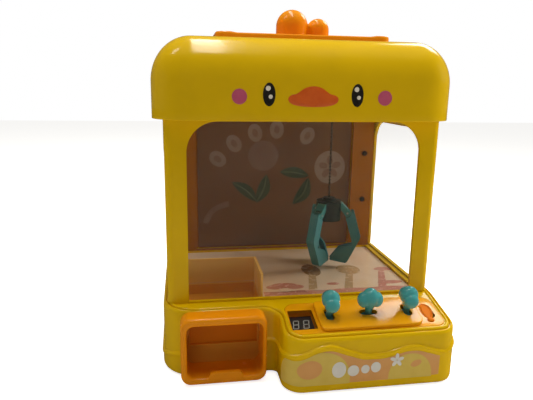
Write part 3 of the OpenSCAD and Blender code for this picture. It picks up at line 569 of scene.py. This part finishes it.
def wave_heights():
    """The wave's height at each point of the outline, by a smooth curve through its knots."""
    knots = []
    for wx, wy, wz in WAVE:
        i = min(range(len(BASE_PATH)), key=lambda k: math.hypot(BASE_PATH[k][0] - wx, BASE_PATH[k][1] - wy))
        knots.append((i, wz))
    count = len(BASE_PATH)
    knots = [(knots[-1][0] - count, knots[-1][1])] + knots + [(knots[0][0] + count, knots[0][1]),
                                                             (knots[1][0] + count, knots[1][1])]
    run = lengths(BASE_PATH * 3 + BASE_PATH[:1])
    at = lambda i: run[i + count]
    out = [0.0] * count
    for j in range(1, len(knots) - 2):
        (i0, z0), (i1, z1), (i2, z2), (i3, z3) = knots[j - 1:j + 3]
        s0, s1, s2, s3 = at(i0), at(i1), at(i2), at(i3)
        m1 = (z2 - z0) / (s2 - s0)
        m2 = (z3 - z1) / (s3 - s1)
        if (z1 - z0) * (z2 - z1) <= 0:
            m1 = 0
        if (z2 - z1) * (z3 - z2) <= 0:
            m2 = 0
        for i in range(i1, i2 + 1):
            t = (at(i) - s1) / (s2 - s1)
            h = s2 - s1
            z = ((2 * t ** 3 - 3 * t * t + 1) * z1 + (t ** 3 - 2 * t * t + t) * h * m1
                 + (3 * t * t - 2 * t ** 3) * z2 + (t ** 3 - t * t) * h * m2)
            out[i % count] = z
    return out


WAVE_Z = wave_heights()


def base_rings():
    """Outline rings of the base's wall, from the inside foot, over the rim and down the inside."""
    foot = 1.0
    low = [(-2.4, 0.0), (-1.4, 0.0), (-0.5, 0.35), (0.35, 1.1), (0.85, 2.2), (1.0, 3.4)]
    rib = [(1.0, -2.6), (1.25, -1.7), (1.7, -0.9), (1.85, 0.0), (1.6, 0.75), (0.8, 1.25), (0.15, 1.7), (0.0, 2.6)]
    rim = [(0.0, -3.4), (-0.1, -2.2), (-0.4, -1.1), (-0.95, -0.3), (-1.6, 0.1), (-2.1, 0.0), (-2.4, -0.6),
           (-2.55, -1.9), (-3.25, -1.9), (-3.35, -0.7), (-3.6, 0.15), (-4.1, 0.7), (-4.7, 0.95), (-5.3, 0.9),
           (-5.9, 0.55), (-6.25, 0.1), (-6.45, 0.0), (-6.7, 0.0), (-6.7, -2.4), (-3.2, -3.2), (-2.4, -3.9)]

    def ring(off, height):
        """The outline stood off by off; height takes a point's x and y and the wave line's height there."""
        return [(x, y, height(x, y, w)) for (x, y), w in zip(stood_off(BASE_PATH, off), WAVE_Z)]

    rings = [ring(o, lambda x, y, w: foot + z) for o, z in low]
    rings += [ring(1.0, lambda x, y, w: foot + 3.4 + t * (w - 2.6 - foot - 3.4)) for t in (0.2, 0.4, 0.6, 0.8)]
    rings += [ring(o, lambda x, y, w: w + z) for o, z in rib]
    rings += [ring(0.0, lambda x, y, w: w + 2.6 + t * max(0.4, top_at(x, y) - 3.4 - w - 2.6)) for t in (0.35, 0.7)]
    rings += [ring(o, lambda x, y, w: top_at(x, y) + z) for o, z in rim]
    return rings


def box_solid(x0, y0, z0, x1, y1, z1):
    v = [(x, y, z) for z in (z0, z1) for x, y in ((x0, y0), (x1, y0), (x1, y1), (x0, y1))]
    return v, [(0, 1, 2, 3), (4, 5, 6, 7), (0, 1, 5, 4), (1, 2, 6, 5), (2, 3, 7, 6), (3, 0, 4, 7)]


def bore(path, y0, y1):
    """A cutter along y with the path as its outline."""
    return skin([[(x, y, z) for x, z, _, _ in path] for y in (y0, y1)], caps=True)


base = mesh("base_body", *skin(base_rings(), close_v=True), M["yellow"])
cut(base, bore(round_rect(-98.5, 5.2, -36.2, 51.6, 6), -40, -90))
slots = [box_solid(40 + i * 5 - 1, 90, 19, 40 + i * 5 + 1, 110, 41) for i in range(-3, 4)]
slots.append(box_solid(-77.8, 90, 31.2, -66.2, 110, 36.8))
slots.append(bore(round_rect(-55.2, 31.8, -44.8, 36.2, 2.2), 90, 110))
cut(base, join(slots))
base.data.set_sharp_from_angle(angle=math.radians(40))
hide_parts("base_shell")


def prism(points, z0, z1):
    return skin([[(x, y, z) for x, y in points] for z in (z0, z1)], caps=True)


def grid_slab(xs, ys, thick):
    """A closed slab that follows the base's top surface."""
    n, m = len(xs), len(ys)
    verts = [(x, y, top_at(x, y) - d) for d in (0.0, thick) for y in ys for x in xs]
    faces = []
    for layer in (0, n * m):
        faces += [(layer + j * n + i, layer + j * n + i + 1, layer + (j + 1) * n + i + 1, layer + (j + 1) * n + i)
                  for j in range(m - 1) for i in range(n - 1)]
    edge = (list(range(n)) + [j * n + n - 1 for j in range(1, m)]
            + [(m - 1) * n + i for i in range(n - 2, -1, -1)] + [j * n for j in range(m - 2, 0, -1)])
    faces += [(a, b, b + n * m, a + n * m) for a, b in zip(edge, edge[1:] + edge[:1])]
    return verts, faces


deck_xs = ([-118 + 12 * i for i in range(7)] + [-35.5 + 1.5 * i for i in range(10)]
           + [-18 + 12.3 * i for i in range(12)])
deck_ys = [-108, -96, -84, -72, -66, -62, -59, -57, -55.5, -54.5, -53.5, -52.5, -51.5, -50.5, -49.5, -48, -46, -43,
           -38, 0, 40, 80, 104]
deck = mesh("deck_top", *grid_slab(deck_xs, deck_ys, 2.3), M["yellow"])
cut(deck, prism(stood_off(BASE_PATH, -6.62), 20, 75), "INTERSECT")
slope_cos = math.cos(SLOPE)
cut(deck, join([prism([(-104, -46), (104, -46), (104, 84), (-104, 84)], 20, 75),
                prism([(x, SLOPE_Y + v * slope_cos) for x, v, _, _ in round_rect(-18.55, -45.75, 108.15, -7.55, 8.6)],
                      20, 75)]))
deck.data.set_sharp_from_angle(angle=math.radians(32))
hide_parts("deck")


# ---------------- hood with its face, top plate and tuft
HOOD_R = 31.0
HOOD_EDGE_R = 34.0


def hood_rings():
    """Outline rings from inside the hood's lip, round it, and up over the shoulder."""
    path = round_rect(-HOOD_X, HOOD_Y0, HOOD_X, HOOD_Y1, HOOD_R, 8, 6)
    side = HOOD_Z1 - HOOD_EDGE_R
    rings = [(2.4, HOOD_Z0 + 12), (2.4, HOOD_Z0 + 0.3), (2.1, HOOD_Z0), (0.5, HOOD_Z0), (0.12, HOOD_Z0 + 0.15),
             (0.0, HOOD_Z0 + 0.5), (0.0, HOOD_Z0 + 8), (0.0, HOOD_Z0 + 16), (0.0, side - 8)]
    steps = 22
    for i in range(steps + 1):
        a = math.pi / 2 * i / steps
        rings.append((HOOD_R * (1 - math.cos(a)), side + HOOD_EDGE_R * math.sin(a)))
    return [[(x, y, z) for x, y in stood_off(path, -inset)] for inset, z in rings]


def roof_grid(ring, steps=6):
    """Rings that close the hood's flat top."""
    out = []
    for i in range(1, steps + 1):
        t = i / steps
        out.append([(x * (1 - t), MID_Y + (y - MID_Y) * (1 - t), z + 0.25 * ease(t)) for x, y, z in ring])
    return out


rings = hood_rings()
rings += roof_grid(rings[-1])
hood = mesh("hood_dome", *skin(rings), M["yellow"], sharp=50)
bm = bmesh.new()
bm.from_mesh(hood.data)
bmesh.ops.remove_doubles(bm, verts=bm.verts, dist=0.00002)
bm.to_mesh(hood.data)
bm.free()
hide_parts("hood_shell")


def wall_print(name, loop, mat, y=HOOD_Y0, depth=0.18):
    """A flat printed shape with a slightly raised face on a wall that faces the front."""
    rings = [[(x, y - d, z) for x, z in shrunk(loop, k)]
             for k, d in ((1.0, -0.3), (1.0, depth * 0.6), (0.985, depth), (0.6, depth), (0.2, depth))]
    mesh(name, *skin(rings, caps=True), mat)


for side, tag in ((-1, "left"), (1, "right")):
    wall_print("cheek_" + tag, ring_loop(side * 55.6, 222, 5.6, 5.6), M["cheek"])
    wall_print("eye_" + tag, ring_loop(side * 33.7, 223.7, 4.7, 8.5), M["eye"])
    for word, dx, dz, r in (("upper", -0.8, 4.4, 1.85), ("lower", 1.1, -1.6, 1.55)):
        wall_print(f"glint_{word}_{tag}", ring_loop(side * 33.7 + dx, 223.7 + dz, r, r, 24), M["glint"],
                   HOOD_Y0 - 0.18, 0.1)


def beak_loop():
    """Wide flat ends and a dome above the middle."""
    upper = [(19.2, 220.3), (18.6, 222.2), (16.4, 223.6), (13, 224.4), (10.2, 226.2), (7, 228.4), (3.2, 229.7)]
    lower = [(18.2, 218.2), (15, 216.4), (9, 215.3)]
    pts = [(-x, z) for x, z in upper] + [(0, 230)] + upper[::-1]
    pts += lower + [(0, 214.9)] + [(-x, z) for x, z in lower[::-1]]
    pts = [(x - 0.2, z) for x, z in pts]
    out = []
    n = len(pts)
    for i in range(n):
        p0, p1, p2, p3 = (pts[(i + k) % n] for k in (-1, 0, 1, 2))
        for t in (0, 0.25, 0.5, 0.75):
            out.append(tuple(0.5 * (2 * p1[c] + (p2[c] - p0[c]) * t + (2 * p0[c] - 5 * p1[c] + 4 * p2[c] - p3[c])
                                    * t * t + (3 * p1[c] - p0[c] - 3 * p2[c] + p3[c]) * t ** 3) for c in (0, 1)))
    return out


wall_print("beak_print", beak_loop(), M["beak"])

TOP = HOOD_Z1
top_path = round_rect(-70, MID_Y - 46, 74, MID_Y + 46, 7, 5, 10)
prof = [(0.0, TOP - 0.2), (0.0, TOP + 3.0), (-0.3, TOP + 3.8), (-1.0, TOP + 4.35), (-2.0, TOP + 4.5),
        (-3.6, TOP + 4.5), (-4.4, TOP + 4.2), (-5.0, TOP + 3.8), (-5.8, TOP + 3.6), (-7, TOP + 3.6)]
rings = []
for o, z in prof:
    ends = [0.75 * ease((abs(x - 2) - 56) / 3) if z > TOP + 3.7 else 0 for x, _, _, _ in top_path]
    rings.append([(x, y, z + rise) for (x, y), rise in zip(stood_off(top_path, o), ends)])
for q in (0.8, 0.55, 0.3):
    rings.append([(2 + (x - 2) * q, MID_Y + (y - MID_Y) * q, TOP + 3.6 + 0.6 * (1 - q)) for x, y, _, _ in top_path])
top = mesh("top_plate_rimmed", *skin(rings, caps=True), M["orange"], sharp=50)
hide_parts("top_plate")


def lathe(profile, n=32, cx=0, cy=0):
    """A solid turned about an upright axis from (radius, z) points."""
    return skin([[(x, y, z) for x, y in ring_loop(cx, cy, r, r, n)] for r, z in profile], caps=True)


def dome(cx, cy, cz, r, z0, m=14):
    """A round-topped bump with straight sides down to z0."""
    profile = [(r + 0.9, z0), (r + 0.2, z0 + 0.9)] + [(r, z0 + (cz - z0) * k / 4) for k in (1, 2, 3)]
    profile += [(r * math.cos(a), cz + r * math.sin(a)) for a in (1.565 * i / m for i in range(m + 1))]
    return lathe(profile, 48, cx, cy)


def melt(name, parts, mat, body, voxel, smooth):
    """Runs closed shapes into one soft form."""
    ob = mesh(name, *join(parts), mat, body)
    r = ob.modifiers.new("melt", "REMESH")
    r.mode = "VOXEL"
    r.voxel_size = voxel * MM
    s = ob.modifiers.new("soften", "SMOOTH")
    s.factor = 0.5
    s.iterations = smooth
    baked(ob)
    for p in ob.data.polygons:
        p.use_smooth = True
    ob.data.materials.clear()
    ob.data.materials.append(mat)
    return ob


bumps = [dome(0, MID_Y, TOP + 15.2, 13.9, TOP + 3.2), dome(23.3, MID_Y, TOP + 12.6, 9.9, TOP + 3.2)]
tuft = melt("top_tuft_soft", bumps, M["orange"], "root", 0.8, 5)
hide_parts("top_tuft")

# ---------------- prize outlet
OUT_Y0, OUT_Y1 = BASE_Y0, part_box("outlet_frame")[0].y / MM


def resample(path, count):
    """Points spread evenly along a closed line."""
    run = lengths(path + path[:1])
    out = []
    k = 0
    for i in range(count):
        want = run[-1] * i / count
        while run[k + 1] < want:
            k += 1
        t = (want - run[k]) / (run[k + 1] - run[k])
        a, b = path[k], path[(k + 1) % len(path)]
        out.append((a[0] + (b[0] - a[0]) * t, a[1] + (b[1] - a[1]) * t))
    return out


def outlet():
    """The frame's rounded face and its sleeve, with the same number of points outside and inside."""
    outer = round_rect(-101.7, 1, -34.5, 56.8, 8, 3, 7.5)
    shadow_colour = round_rect(-96.8, 6.8, -37.8, 50, 5.5, 3, 7.5)
    face = ((0, OUT_Y0), (0, OUT_Y1 + 3.2), (-0.35, OUT_Y1 + 1.7), (-1.1, OUT_Y1 + 0.55), (-2.0, OUT_Y1))
    mouth = ((1.6, OUT_Y1 + 0.15), (0.6, OUT_Y1 + 0.9), (0.1, OUT_Y1 + 2.2), (0, OUT_Y1 + 4), (0, -57.8),
             (1.6, -57.8), (1.6, OUT_Y0))
    rings = []
    for path, profile in ((outer, face), (shadow_colour, mouth)):
        for o, y in profile:
            rings.append([(x, y, z) for x, z in resample(stood_off(path, o), 160)])
    return skin(rings, close_v=True)


frame_ob = mesh("outlet_surround", *outlet(), M["orange"], sharp=45)
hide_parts("outlet_frame")
tab = [(-81.5, 4.5), (-52.5, 4.5), (-54, 8.5), (-55.2, 10.6), (-57.2, 11.4), (-77, 11.4), (-79, 10.6), (-80.2, 8.5)]
rings = []
for k, y in ((1.0, OUT_Y1 + 3.0), (1.0, OUT_Y1 + 0.3), (0.97, OUT_Y1 - 0.05), (0.9, OUT_Y1 - 0.05)):
    rings.append([(-67 + (x + 67) * k, y, 8 + (z - 8) * k) for x, z in tab])
lip = mesh("outlet_thumb_tab", *skin(rings, caps=True), M["orange"])


# ---------------- control desk
def flat_prism(path, w0, w1):
    """A cutter through the desk."""
    return skin([[desk(x, y, w) for x, y, _, _ in path] for w in (w0, w1)], caps=True)


STICK_U = (15.1, 47.5, 79.9)
STICK_V = -27.5
WELL = round_rect(-16.8, -40.5, 3.2, -16.9, 0.9, 4, 22)


def slot_path(i, half, r):
    """A lever's slot: across the desk for the middle one, up and down it for the others."""
    u, v = STICK_U[i], STICK_V
    if i == 1:
        return round_rect(u - half, v - r, u + half, v + r, r - 0.01, 2.0, 15)
    return round_rect(u - r, v - half, u + r, v + half, r - 0.01, 2.0, 15)


panel = mesh("desk_panel", *desk_plate(round_rect(-18.4, -45.6, 108, -7.7, 8.5, 4, 7.5), -2.2, 0.15, 0.5, 3),
             M["panel"])
cutters = [flat_prism(slot_path(i, 10.5, 5), -8, 5) for i in range(3)]
cutters.append(flat_prism(WELL, -8, 5))
cutters.append(flat_prism(round_rect(93.8, -36, 103.4, -17.6, 4.7, 3, 12), -8, 5))
cut(panel, join(cutters))
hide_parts("control_panel")

# walls of the display's well
flange = round_rect(-17.7, -41.7, 3.7, -15.7, 1.4, 4, 22)
rings = [[desk(x, y, w) for x, y, _, _ in loop]
         for loop, w in ((flange, -0.9), (flange, -7.0), (WELL, -7.0), (WELL, -0.05))]
well_ob = mesh("display_well", *skin(rings, close_v=True), M["orange"])

stick_path = (line_to(9.6, -44.6, 81.4, -44.6) + arc_to(81.4, -36.6, 8, 270, 360)
              + line_to(89.4, -36.6, 89.4, -13.7) + arc_to(85.4, -13.7, 4, 0, 90)
              + line_to(85.4, -9.7, 9.6, -9.7) + arc_to(9.6, -13.7, 4, 90, 180)
              + line_to(5.6, -13.7, 5.6, -40.6) + arc_to(9.6, -40.6, 4, 180, 270))
stick_plate = mesh("stick_plate", *desk_plate(stick_path, 0.1, 3.2, 0.9, 4), M["panel"])
cut(stick_plate, join([flat_prism(slot_path(i, 7.4, 3.5), -8, 8) for i in range(3)]))
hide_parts("joystick_plate")


def ball(cx, cy, cz, rx, ry, rz, n=24, m=14):
    """An ellipsoid with small flat poles."""
    rings = []
    for i in range(m + 1):
        a = max(-1.5, min(1.5, -math.pi / 2 + math.pi * i / m))
        loop = ring_loop(cx, cy, rx * math.cos(a), ry * math.cos(a), n)
        rings.append([(x, y, cz + rz * math.sin(a)) for x, y in loop])
    return skin(rings, caps=True)


def moved(part, fn):
    """A part with fn applied to every point."""
    return [fn(*p) for p in part[0]], part[1]


def knob(i, name):
    """A joystick: lobed head, tapering neck and curved skirt, in the lever's own frame, then on the desk."""
    top = 24.4
    parts = [ball(0, 0, top + 0.9, 7.3, 6.9, 7.9), ball(0, -5.2, top - 1.0, 6.0, 5.3, 6.4),
             ball(0, 5.2, top - 1.0, 6.0, 5.3, 6.4),
             lathe([(2.7, top - 12.5), (2.8, top - 11), (3.2, top - 9), (4.4, top - 6.5), (5.2, top - 4)])]

    def onto(x, y, z):
        if i == 1:
            x, y = -y, x
        return desk(STICK_U[i] + x, STICK_V + y, -8 + z)

    head = melt(name + "_knob", [moved(p, onto) for p in parts], M["teal"], name, 0.45, 7)
    neck = lathe([(2.4, 2), (2.5, 9), (2.7, 12.5), (2.9, 14)], 28)
    # curved skirt that fills the slot as the lever tilts
    arc = []
    steps = 24
    for k in range(steps + 1):
        a = math.radians(-52 + 104 * k / steps)
        arc.append([(x, r * math.sin(a), r * math.cos(a) * 0.98) for x, r in
                    ((-3.0, 8.0), (-3.0, 9.2), (-2.6, 9.5), (2.6, 9.5), (3.0, 9.2), (3.0, 8.0))])
    skirt = skin(arc, caps=True)
    hub = moved(lathe([(3.6, -4.5), (3.6, 4.5)], 24), lambda x, y, z: (z, x, y))
    tail = lathe([(1.4, -9), (1.7, -8.6), (1.7, 0)], 16)
    lever = mesh(name + "_lever", *join([moved(p, onto) for p in (neck, skirt, hub, tail)]), M["teal_matt"], name)
    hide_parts(name)


for i, name in enumerate(("joystick_left", "joystick_middle", "joystick_right")):
    knob(i, name)


def tube(points, r, n):
    """A round bar along points."""
    rings = []
    for i, p in enumerate(points):
        a = Vector(points[max(0, i - 1)])
        b = Vector(points[min(len(points) - 1, i + 1)])
        d = (b - a).normalized()
        side = d.cross(Vector((0, 0, 1)) if abs(d.z) < 0.9 else Vector((1, 0, 0))).normalized()
        other = d.cross(side)
        rings.append([tuple(Vector(p) + side * r * math.cos(2 * math.pi * j / n)
                            + other * r * math.sin(2 * math.pi * j / n)) for j in range(n)])
    return skin(rings, caps=True)


# unlit seven-segment digits on the display's lens
DIGIT_U = (-10.9, -2.5)
DIGIT_V = -27.0
DIGIT_HALF = (2.1, 4.7)
DIGIT_LEAN = 0.17
SEGMENT_GAP, SEGMENT_HALF = 0.16, 0.34
SEGMENTS = (((-1, 1), (1, 1)), ((1, 1), (1, 0)), ((1, 0), (1, -1)), ((-1, -1), (1, -1)), ((-1, 0), (-1, -1)),
            ((-1, 1), (-1, 0)), ((-1, 0), (1, 0)))


def segment(cx, ends):
    """One bar of a digit: a thin six-sided plate between two corners."""
    (x0, y0), (x1, y1) = [(a * DIGIT_HALF[0], b * DIGIT_HALF[1]) for a, b in ends]
    length = math.hypot(x1 - x0, y1 - y0)
    dx, dy = (x1 - x0) / length, (y1 - y0) / length
    g, t = SEGMENT_GAP, SEGMENT_HALF
    outline = ((g, 0), (g + t, t), (length - g - t, t), (length - g, 0), (length - g - t, -t), (g + t, -t))
    loop = [(cx + x0 + dx * a - dy * b + DIGIT_LEAN * (y0 + dy * a + dx * b), DIGIT_V + y0 + dy * a + dx * b)
            for a, b in outline]
    return skin([[desk(x, y, w) for x, y in loop] for w in (-6.25, -5.95)], caps=True)


segs = [segment(cx, ends) for cx in DIGIT_U for ends in SEGMENTS]
digits = mesh("display_digits", *join(segs), M["digit"])

# coin dish with its fan of ribs, and the slit: a dark rod along its left edge, painted shade for the slit's shadowed
# wall
dish_path = [(97.9 + 4.2 * math.cos(a) + 0.7 * math.sin(a), -26.8 + 9.0 * math.sin(a), math.cos(a), math.sin(a))
             for a in (2 * math.pi * k / 48 for k in range(48))]
prof = [(0.55, 0.15), (0.55, 0.45), (0.2, 0.6), (-0.3, 0.45), (-0.8, -0.2), (-1.6, -0.8), (-2.8, -1.2), (-3.6, -1.3)]
dish_parts = [skin([[desk(x, y, w) for x, y in stood_off(dish_path, o)] for o, w in prof], caps=True)]
for k in range(9):
    a = math.radians(-62 + 18 * k)
    p0 = (95.8 + 0.7 * math.cos(a), -27.5 + 2.0 * math.sin(a))
    p1 = (97.9 + 3.6 * math.cos(a) + 0.7 * math.sin(a), -26.8 + 8.2 * math.sin(a))
    dish_parts.append(tube([desk(p0[0], p0[1], -1.0), desk((p0[0] + p1[0]) / 2, (p0[1] + p1[1]) / 2, -0.6),
                            desk(p1[0], p1[1], 0.1)], 0.42, 8))
dish_parts.append(moved(ball(0, 0, 0, 3.0, 2.6, 1.3), lambda x, y, z: desk(97.0 + x, -38.2 + y, 0.3 + z)))
dish = mesh("coin_dish_fan", *join(dish_parts), M["dish"])
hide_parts("coin_dish")
# the rod marks the real slit's place; its darker colour is painted shade where the slit's wall falls into shadow
slit = [(95.2, -33.4), (94.4, -30.6), (94.2, -27.4), (94.7, -24.0), (95.8, -21.2)]
slit_shade_ob = mesh("coin_slit_painted_shade", *tube([desk(u, v2, 0.0) for u, v2 in slit], 0.6, 8), M["flap"])


# ---------------- label on the skirt
RUN = lengths(BASE_PATH)
ZERO = min(range(len(BASE_PATH)), key=lambda k: math.hypot(BASE_PATH[k][0], BASE_PATH[k][1] + 104))


def along(s):
    """The outline's point before s, and the share of the way to the next; s runs along the front."""
    want = RUN[ZERO] + s - BASE_PATH[ZERO][0]
    last = len(RUN) - 2
    k = next((i for i in range(last + 1) if RUN[i + 1] >= want), last)
    return k, (want - RUN[k]) / (RUN[k + 1] - RUN[k])


def on_skirt(s, z, off):
    """A point on the skirt at height z, stood off by off."""
    k, t = along(s)
    a, b = BASE_PATH[k], BASE_PATH[k + 1]
    mix = [a[c] + (b[c] - a[c]) * t for c in range(4)]
    length = math.hypot(mix[2], mix[3])
    return (mix[0] + mix[2] / length * off, mix[1] + mix[3] / length * off, z)


def skirt_top(s):
    """Height of the wave line at s."""
    k, t = along(s)
    return WAVE_Z[k] + (WAVE_Z[k + 1] - WAVE_Z[k]) * t


def band(s0, s1, low, high, off, n=60):
    """A printed area between two height lines along the skirt."""
    rows = []
    for i in range(n + 1):
        s = s0 + (s1 - s0) * i / n
        z0 = low(s)
        z1 = max(high(s), z0 + 0.05)
        rows.append([on_skirt(s, z0 + (z1 - z0) * k / 8, off) for k in range(9)])
    verts = [p for r in rows for p in r]
    faces = [(i * 9 + k, i * 9 + k + 1, (i + 1) * 9 + k + 1, (i + 1) * 9 + k) for i in range(n) for k in range(8)]
    return verts, faces


def oval(cs, cz, rs, rz, off, n=36, turn=0.0):
    """A printed ellipse on the skirt."""
    rings = [[on_skirt(s, z, off) for s, z in ring_loop(cs, cz, rs * q, rz * q, n, turn)]
             for q in (1.0, 0.85, 0.7, 0.55, 0.4, 0.2)]
    v, f = skin(rings)
    f.append(tuple(5 * n + i for i in range(n)))
    return v, f


def arch(s, a, b, z0, h, power):
    """Height of a rounded hump between a and b."""
    t = (2 * s - a - b) / (b - a)
    return z0 + h * max(0.0, 1 - abs(t) ** power) ** (1 / power)


def print_on(name, part, mat):
    ob = mesh(name, *part, mat)
    return ob


# yellow left showing between the label and the wave line
LABEL_GAP = 3.4
field = print_on("label_field", band(-8, 99, lambda s: 8.2 + 1.2 * ease((s - 80) / 20),
                                     lambda s: min(skirt_top(s) - LABEL_GAP, arch(s, -40, 100.5, 8, 30, 6)), 1.06),
                 M["label_orange"])
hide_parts("front_label")
print_on("label_hill_left", band(-31, 26, lambda s: 7.6, lambda s: min(skirt_top(s) - LABEL_GAP + 0.15,
         arch(s, -31.5, 26.5, 7.6, 27.5, 2.6)), 1.13), M["label_yellow"])
print_on("label_hill_right", band(57, 93, lambda s: 8.2, lambda s: min(skirt_top(s) - LABEL_GAP - 1.5,
         arch(s, 57, 93, 8, 21, 2.2)), 1.13), M["label_yellow"])
print_on("label_spot_left", oval(-5.6, 21, 9.6, 7.6, 1.24, turn=0.12), M["label_orange"])
print_on("label_spot_right", oval(79.5, 20.4, 4.6, 2.7, 1.2, turn=0.35), M["label_orange"])
bubbles = [oval(17.2, 19.5, 5.6, 6.6, 1.27), oval(28.6, 18.0, 4.6, 4.6, 1.27), oval(38.2, 18.6, 3.4, 3.6, 1.27),
           oval(46.6, 19.6, 4.0, 4.4, 1.27)]
print_on("label_bubbles", join(bubbles), M["label_white"])
petals = []
for k in range(5):
    a = math.radians(90 + 72 * k)
    petals.append(oval(63.5 + 3.1 * math.cos(a), 24.2 + 3.1 * math.sin(a), 2.7, 1.5, 1.27, 20, a))
print_on("label_flower", join(petals), M["label_white"])

# ---------------- prints on the door's card
CARD_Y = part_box("door_card")[0].y / MM


def card_print(name, loops, mat, lift):
    ob = mesh(name, *raised(loops, lift, lambda x, z, d: (x, CARD_Y - d, z)), mat, "rear_door")


def leaf_loop(x0, z0, x1, z1, width, bend=0.0, n=14):
    """A pointed oval from one end to the other, with a bend."""
    dx, dz = x1 - x0, z1 - z0
    length = math.hypot(dx, dz)
    dx, dz = dx / length, dz / length
    left, right = [], []
    for i in range(n + 1):
        t = i / n
        w = width * math.sin(math.pi * t) ** 0.8
        b = bend * math.sin(math.pi * t)
        cx, cz = x0 + dx * length * t - dz * b, z0 + dz * length * t + dx * b
        left.append((cx - dz * w / 2, cz + dx * w / 2))
        right.append((cx + dz * w / 2, cz - dx * w / 2))
    return left + right[-2:0:-1]


# moulded rebate of the rear frame that the door closes on, past its free edge
rebate = [(-84.0, 86.3), (-82.5, 86.3), (-82.3, 86.6), (-82.5, 87.1), (-84.0, 87.1)]
mesh("rear_frame_rebate", *skin([[(x, y, z) for x, y in rebate] for z in (59.8, 60.2, 129, 197.6, 198.0)], caps=True),
     M["cladding"])
leaves = ((-46, 130, -19, 108.5, 12, 2.5), (-20, 107.5, -9, 138, 13, -2.5), (5, 140.5, 37, 136, 12, 1.5),
          (20, 105, 37, 134, 13.5, -4))
card_print("card_leaves", [leaf_loop(*a) for a in leaves], M["leaf"], 0.12)
card_print("card_leaf_ribs", [leaf_loop(*a[:4], 1.0, a[5]) for a in leaves], M["leaf_rib"], 0.16)
card_print("card_moon", [ring_loop(-13, 158, 16, 16)], M["card_soft"], 0.06)
card_print("card_badge", [ring_loop(60, 145, 17, 18)], M["card_pale"], 0.08)
badge = [ring_loop(60 + 7.5 * math.cos(math.radians(a)), 145 + 7.5 * math.sin(math.radians(a)), 5.2, 3.4, 20,
                   math.radians(a)) for a in range(20, 380, 72)]
card_print("card_badge_flower", badge, M["card_soft"], 0.12)
BLOOMS = ((-61, 155, 0.9), (-44, 171, 0.55), (-22, 182, 0.25), (1, 185.5, 0.0), (34, 179, -0.5))
card_print("card_petals", [ring_loop(x, z, 7.5, 9.5, 32, t) for x, z, t in BLOOMS], M["card_pale"], 0.06)
card_print("card_petal_hearts", [ring_loop(x, z, 3.0, 4.4, 24, t) for x, z, t in BLOOMS], M["card_soft"], 0.1)
swoosh = []
for start, turn, rx, rz in ((100, 75, 33, 26), (175, -75, 27.5, 20.5)):
    for k in range(15):
        a = math.radians(start + turn * k / 14)
        swoosh.append((-44 + rx * math.cos(a), 84 + rz * math.sin(a)))
card_print("card_swoosh", [swoosh], M["card_soft"], 0.06)

# ---------------- prints on the cabin floor
FLOOR_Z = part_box("floor_print")[1].z / MM


def floor_shapes(name, loops, mat, lift):
    ob = mesh(name, *raised(loops, lift, lambda x, y, d: (x, y, FLOOR_Z + d)), mat)


def trunk(x0, y0, x1, y1, w0, w1):
    """A tapering bar, from width w0 to w1."""
    return [(x0 - w0 / 2, y0), (x0 + w0 / 2, y0), (x1 + w1 / 2, y1), (x1 - w1 / 2, y1)]


floor_shapes("floor_ground", [[(-30, -45), (102, -45), (102, -33), (86, -31), (66, -33), (44, -31), (22, -34),
                               (2, -31), (-14, -34), (-30, -32)]], M["floor_pink"], 0.03)
floor_shapes("floor_tree_dark", [ring_loop(24.5, 17, 9, 16)], M["floor_brown"], 0.06)
floor_shapes("floor_tree_tan", [ring_loop(61.5, 15, 11.5, 13), trunk(14.6, -31, 22.5, 4, 8, 7),
                                trunk(47, -32, 60, 6, 8, 7)], M["floor_tan"], 0.05)
floor_shapes("floor_mushroom", [leaf_loop(86, 12, 106, 8, 10, 3), trunk(78.5, -33, 93, 8, 8, 6)],
             M["floor_pink"], 0.05)
floor_shapes("floor_bushes", [ring_loop(-9, -19, 12, 6), ring_loop(-18, -22, 8, 5), ring_loop(0, -23, 8, 5),
                              ring_loop(36, -20, 6, 3), ring_loop(90, -22, 12, 4)], M["floor_pink"], 0.04)

# ---------------- finishes on the CAD's own pieces
FINISH = {
    "yellow": "cabin_lower cabin_arch ceiling_plate",
    "grey": "base_plate battery_door bridge_frame trolley_frame",
    "rubber": "rubber_feet",
    "screw": "screws",
    "wrap": "batteries",
    "board": "main_board control_board",
    "black": "speaker power_switch rear_socket led_display coin_guide bridge_wheels_front bridge_wheels_rear",
    "flap": "outlet_flap",
    "ramp": "prize_ramp",
    "fence": "chute_fence floor_board",
    "floor": "floor_print",
    "orange": "joystick_brackets",
    "steel": "joystick_pins joystick_springs door_pins bridge_rods bridge_motor winch_motor claw_pins",
    "smoke": "display_lens",
    "clear": "front_window",
    "clear_side": "left_window right_window",
    "cladding": "rear_frame rear_door",
    "card": "door_card",
    "white": "side_rails lamp_strip winch_drum",
    "chain": "hoist_chain",
    "hub": "claw_hub",
    "teal_matt": "claw_arm_right claw_arm_back claw_arm_front",
}
SOFT_EDGE = {"cabin_lower": 0.8, "cabin_arch": 0.8, "rear_frame": 0.4, "rear_door": 0.5, "chute_fence": 0.4,
             "claw_hub": 0.35, "claw_arm_right": 0.3, "claw_arm_back": 0.3, "claw_arm_front": 0.3,
             "outlet_flap": 0.3, "prize_ramp": 0.4}
for key, nodes in FINISH.items():
    for node in nodes.split():
        NODES[node].data.materials.clear()
        NODES[node].data.materials.append(M[key])
for node, width in SOFT_EDGE.items():
    bevel(NODES[node], width)

# ---------------- studio floor
me = bpy.data.meshes.new("studio_floor")
me.from_pydata([(x * FLOOR_HALF, y * FLOOR_HALF, 0) for x, y in ((-1, -1), (1, -1), (1, 1), (-1, 1))], [],
               [(0, 1, 2, 3)])
me.materials.append(M["paper"])
ground = link_object("studio_floor", me)
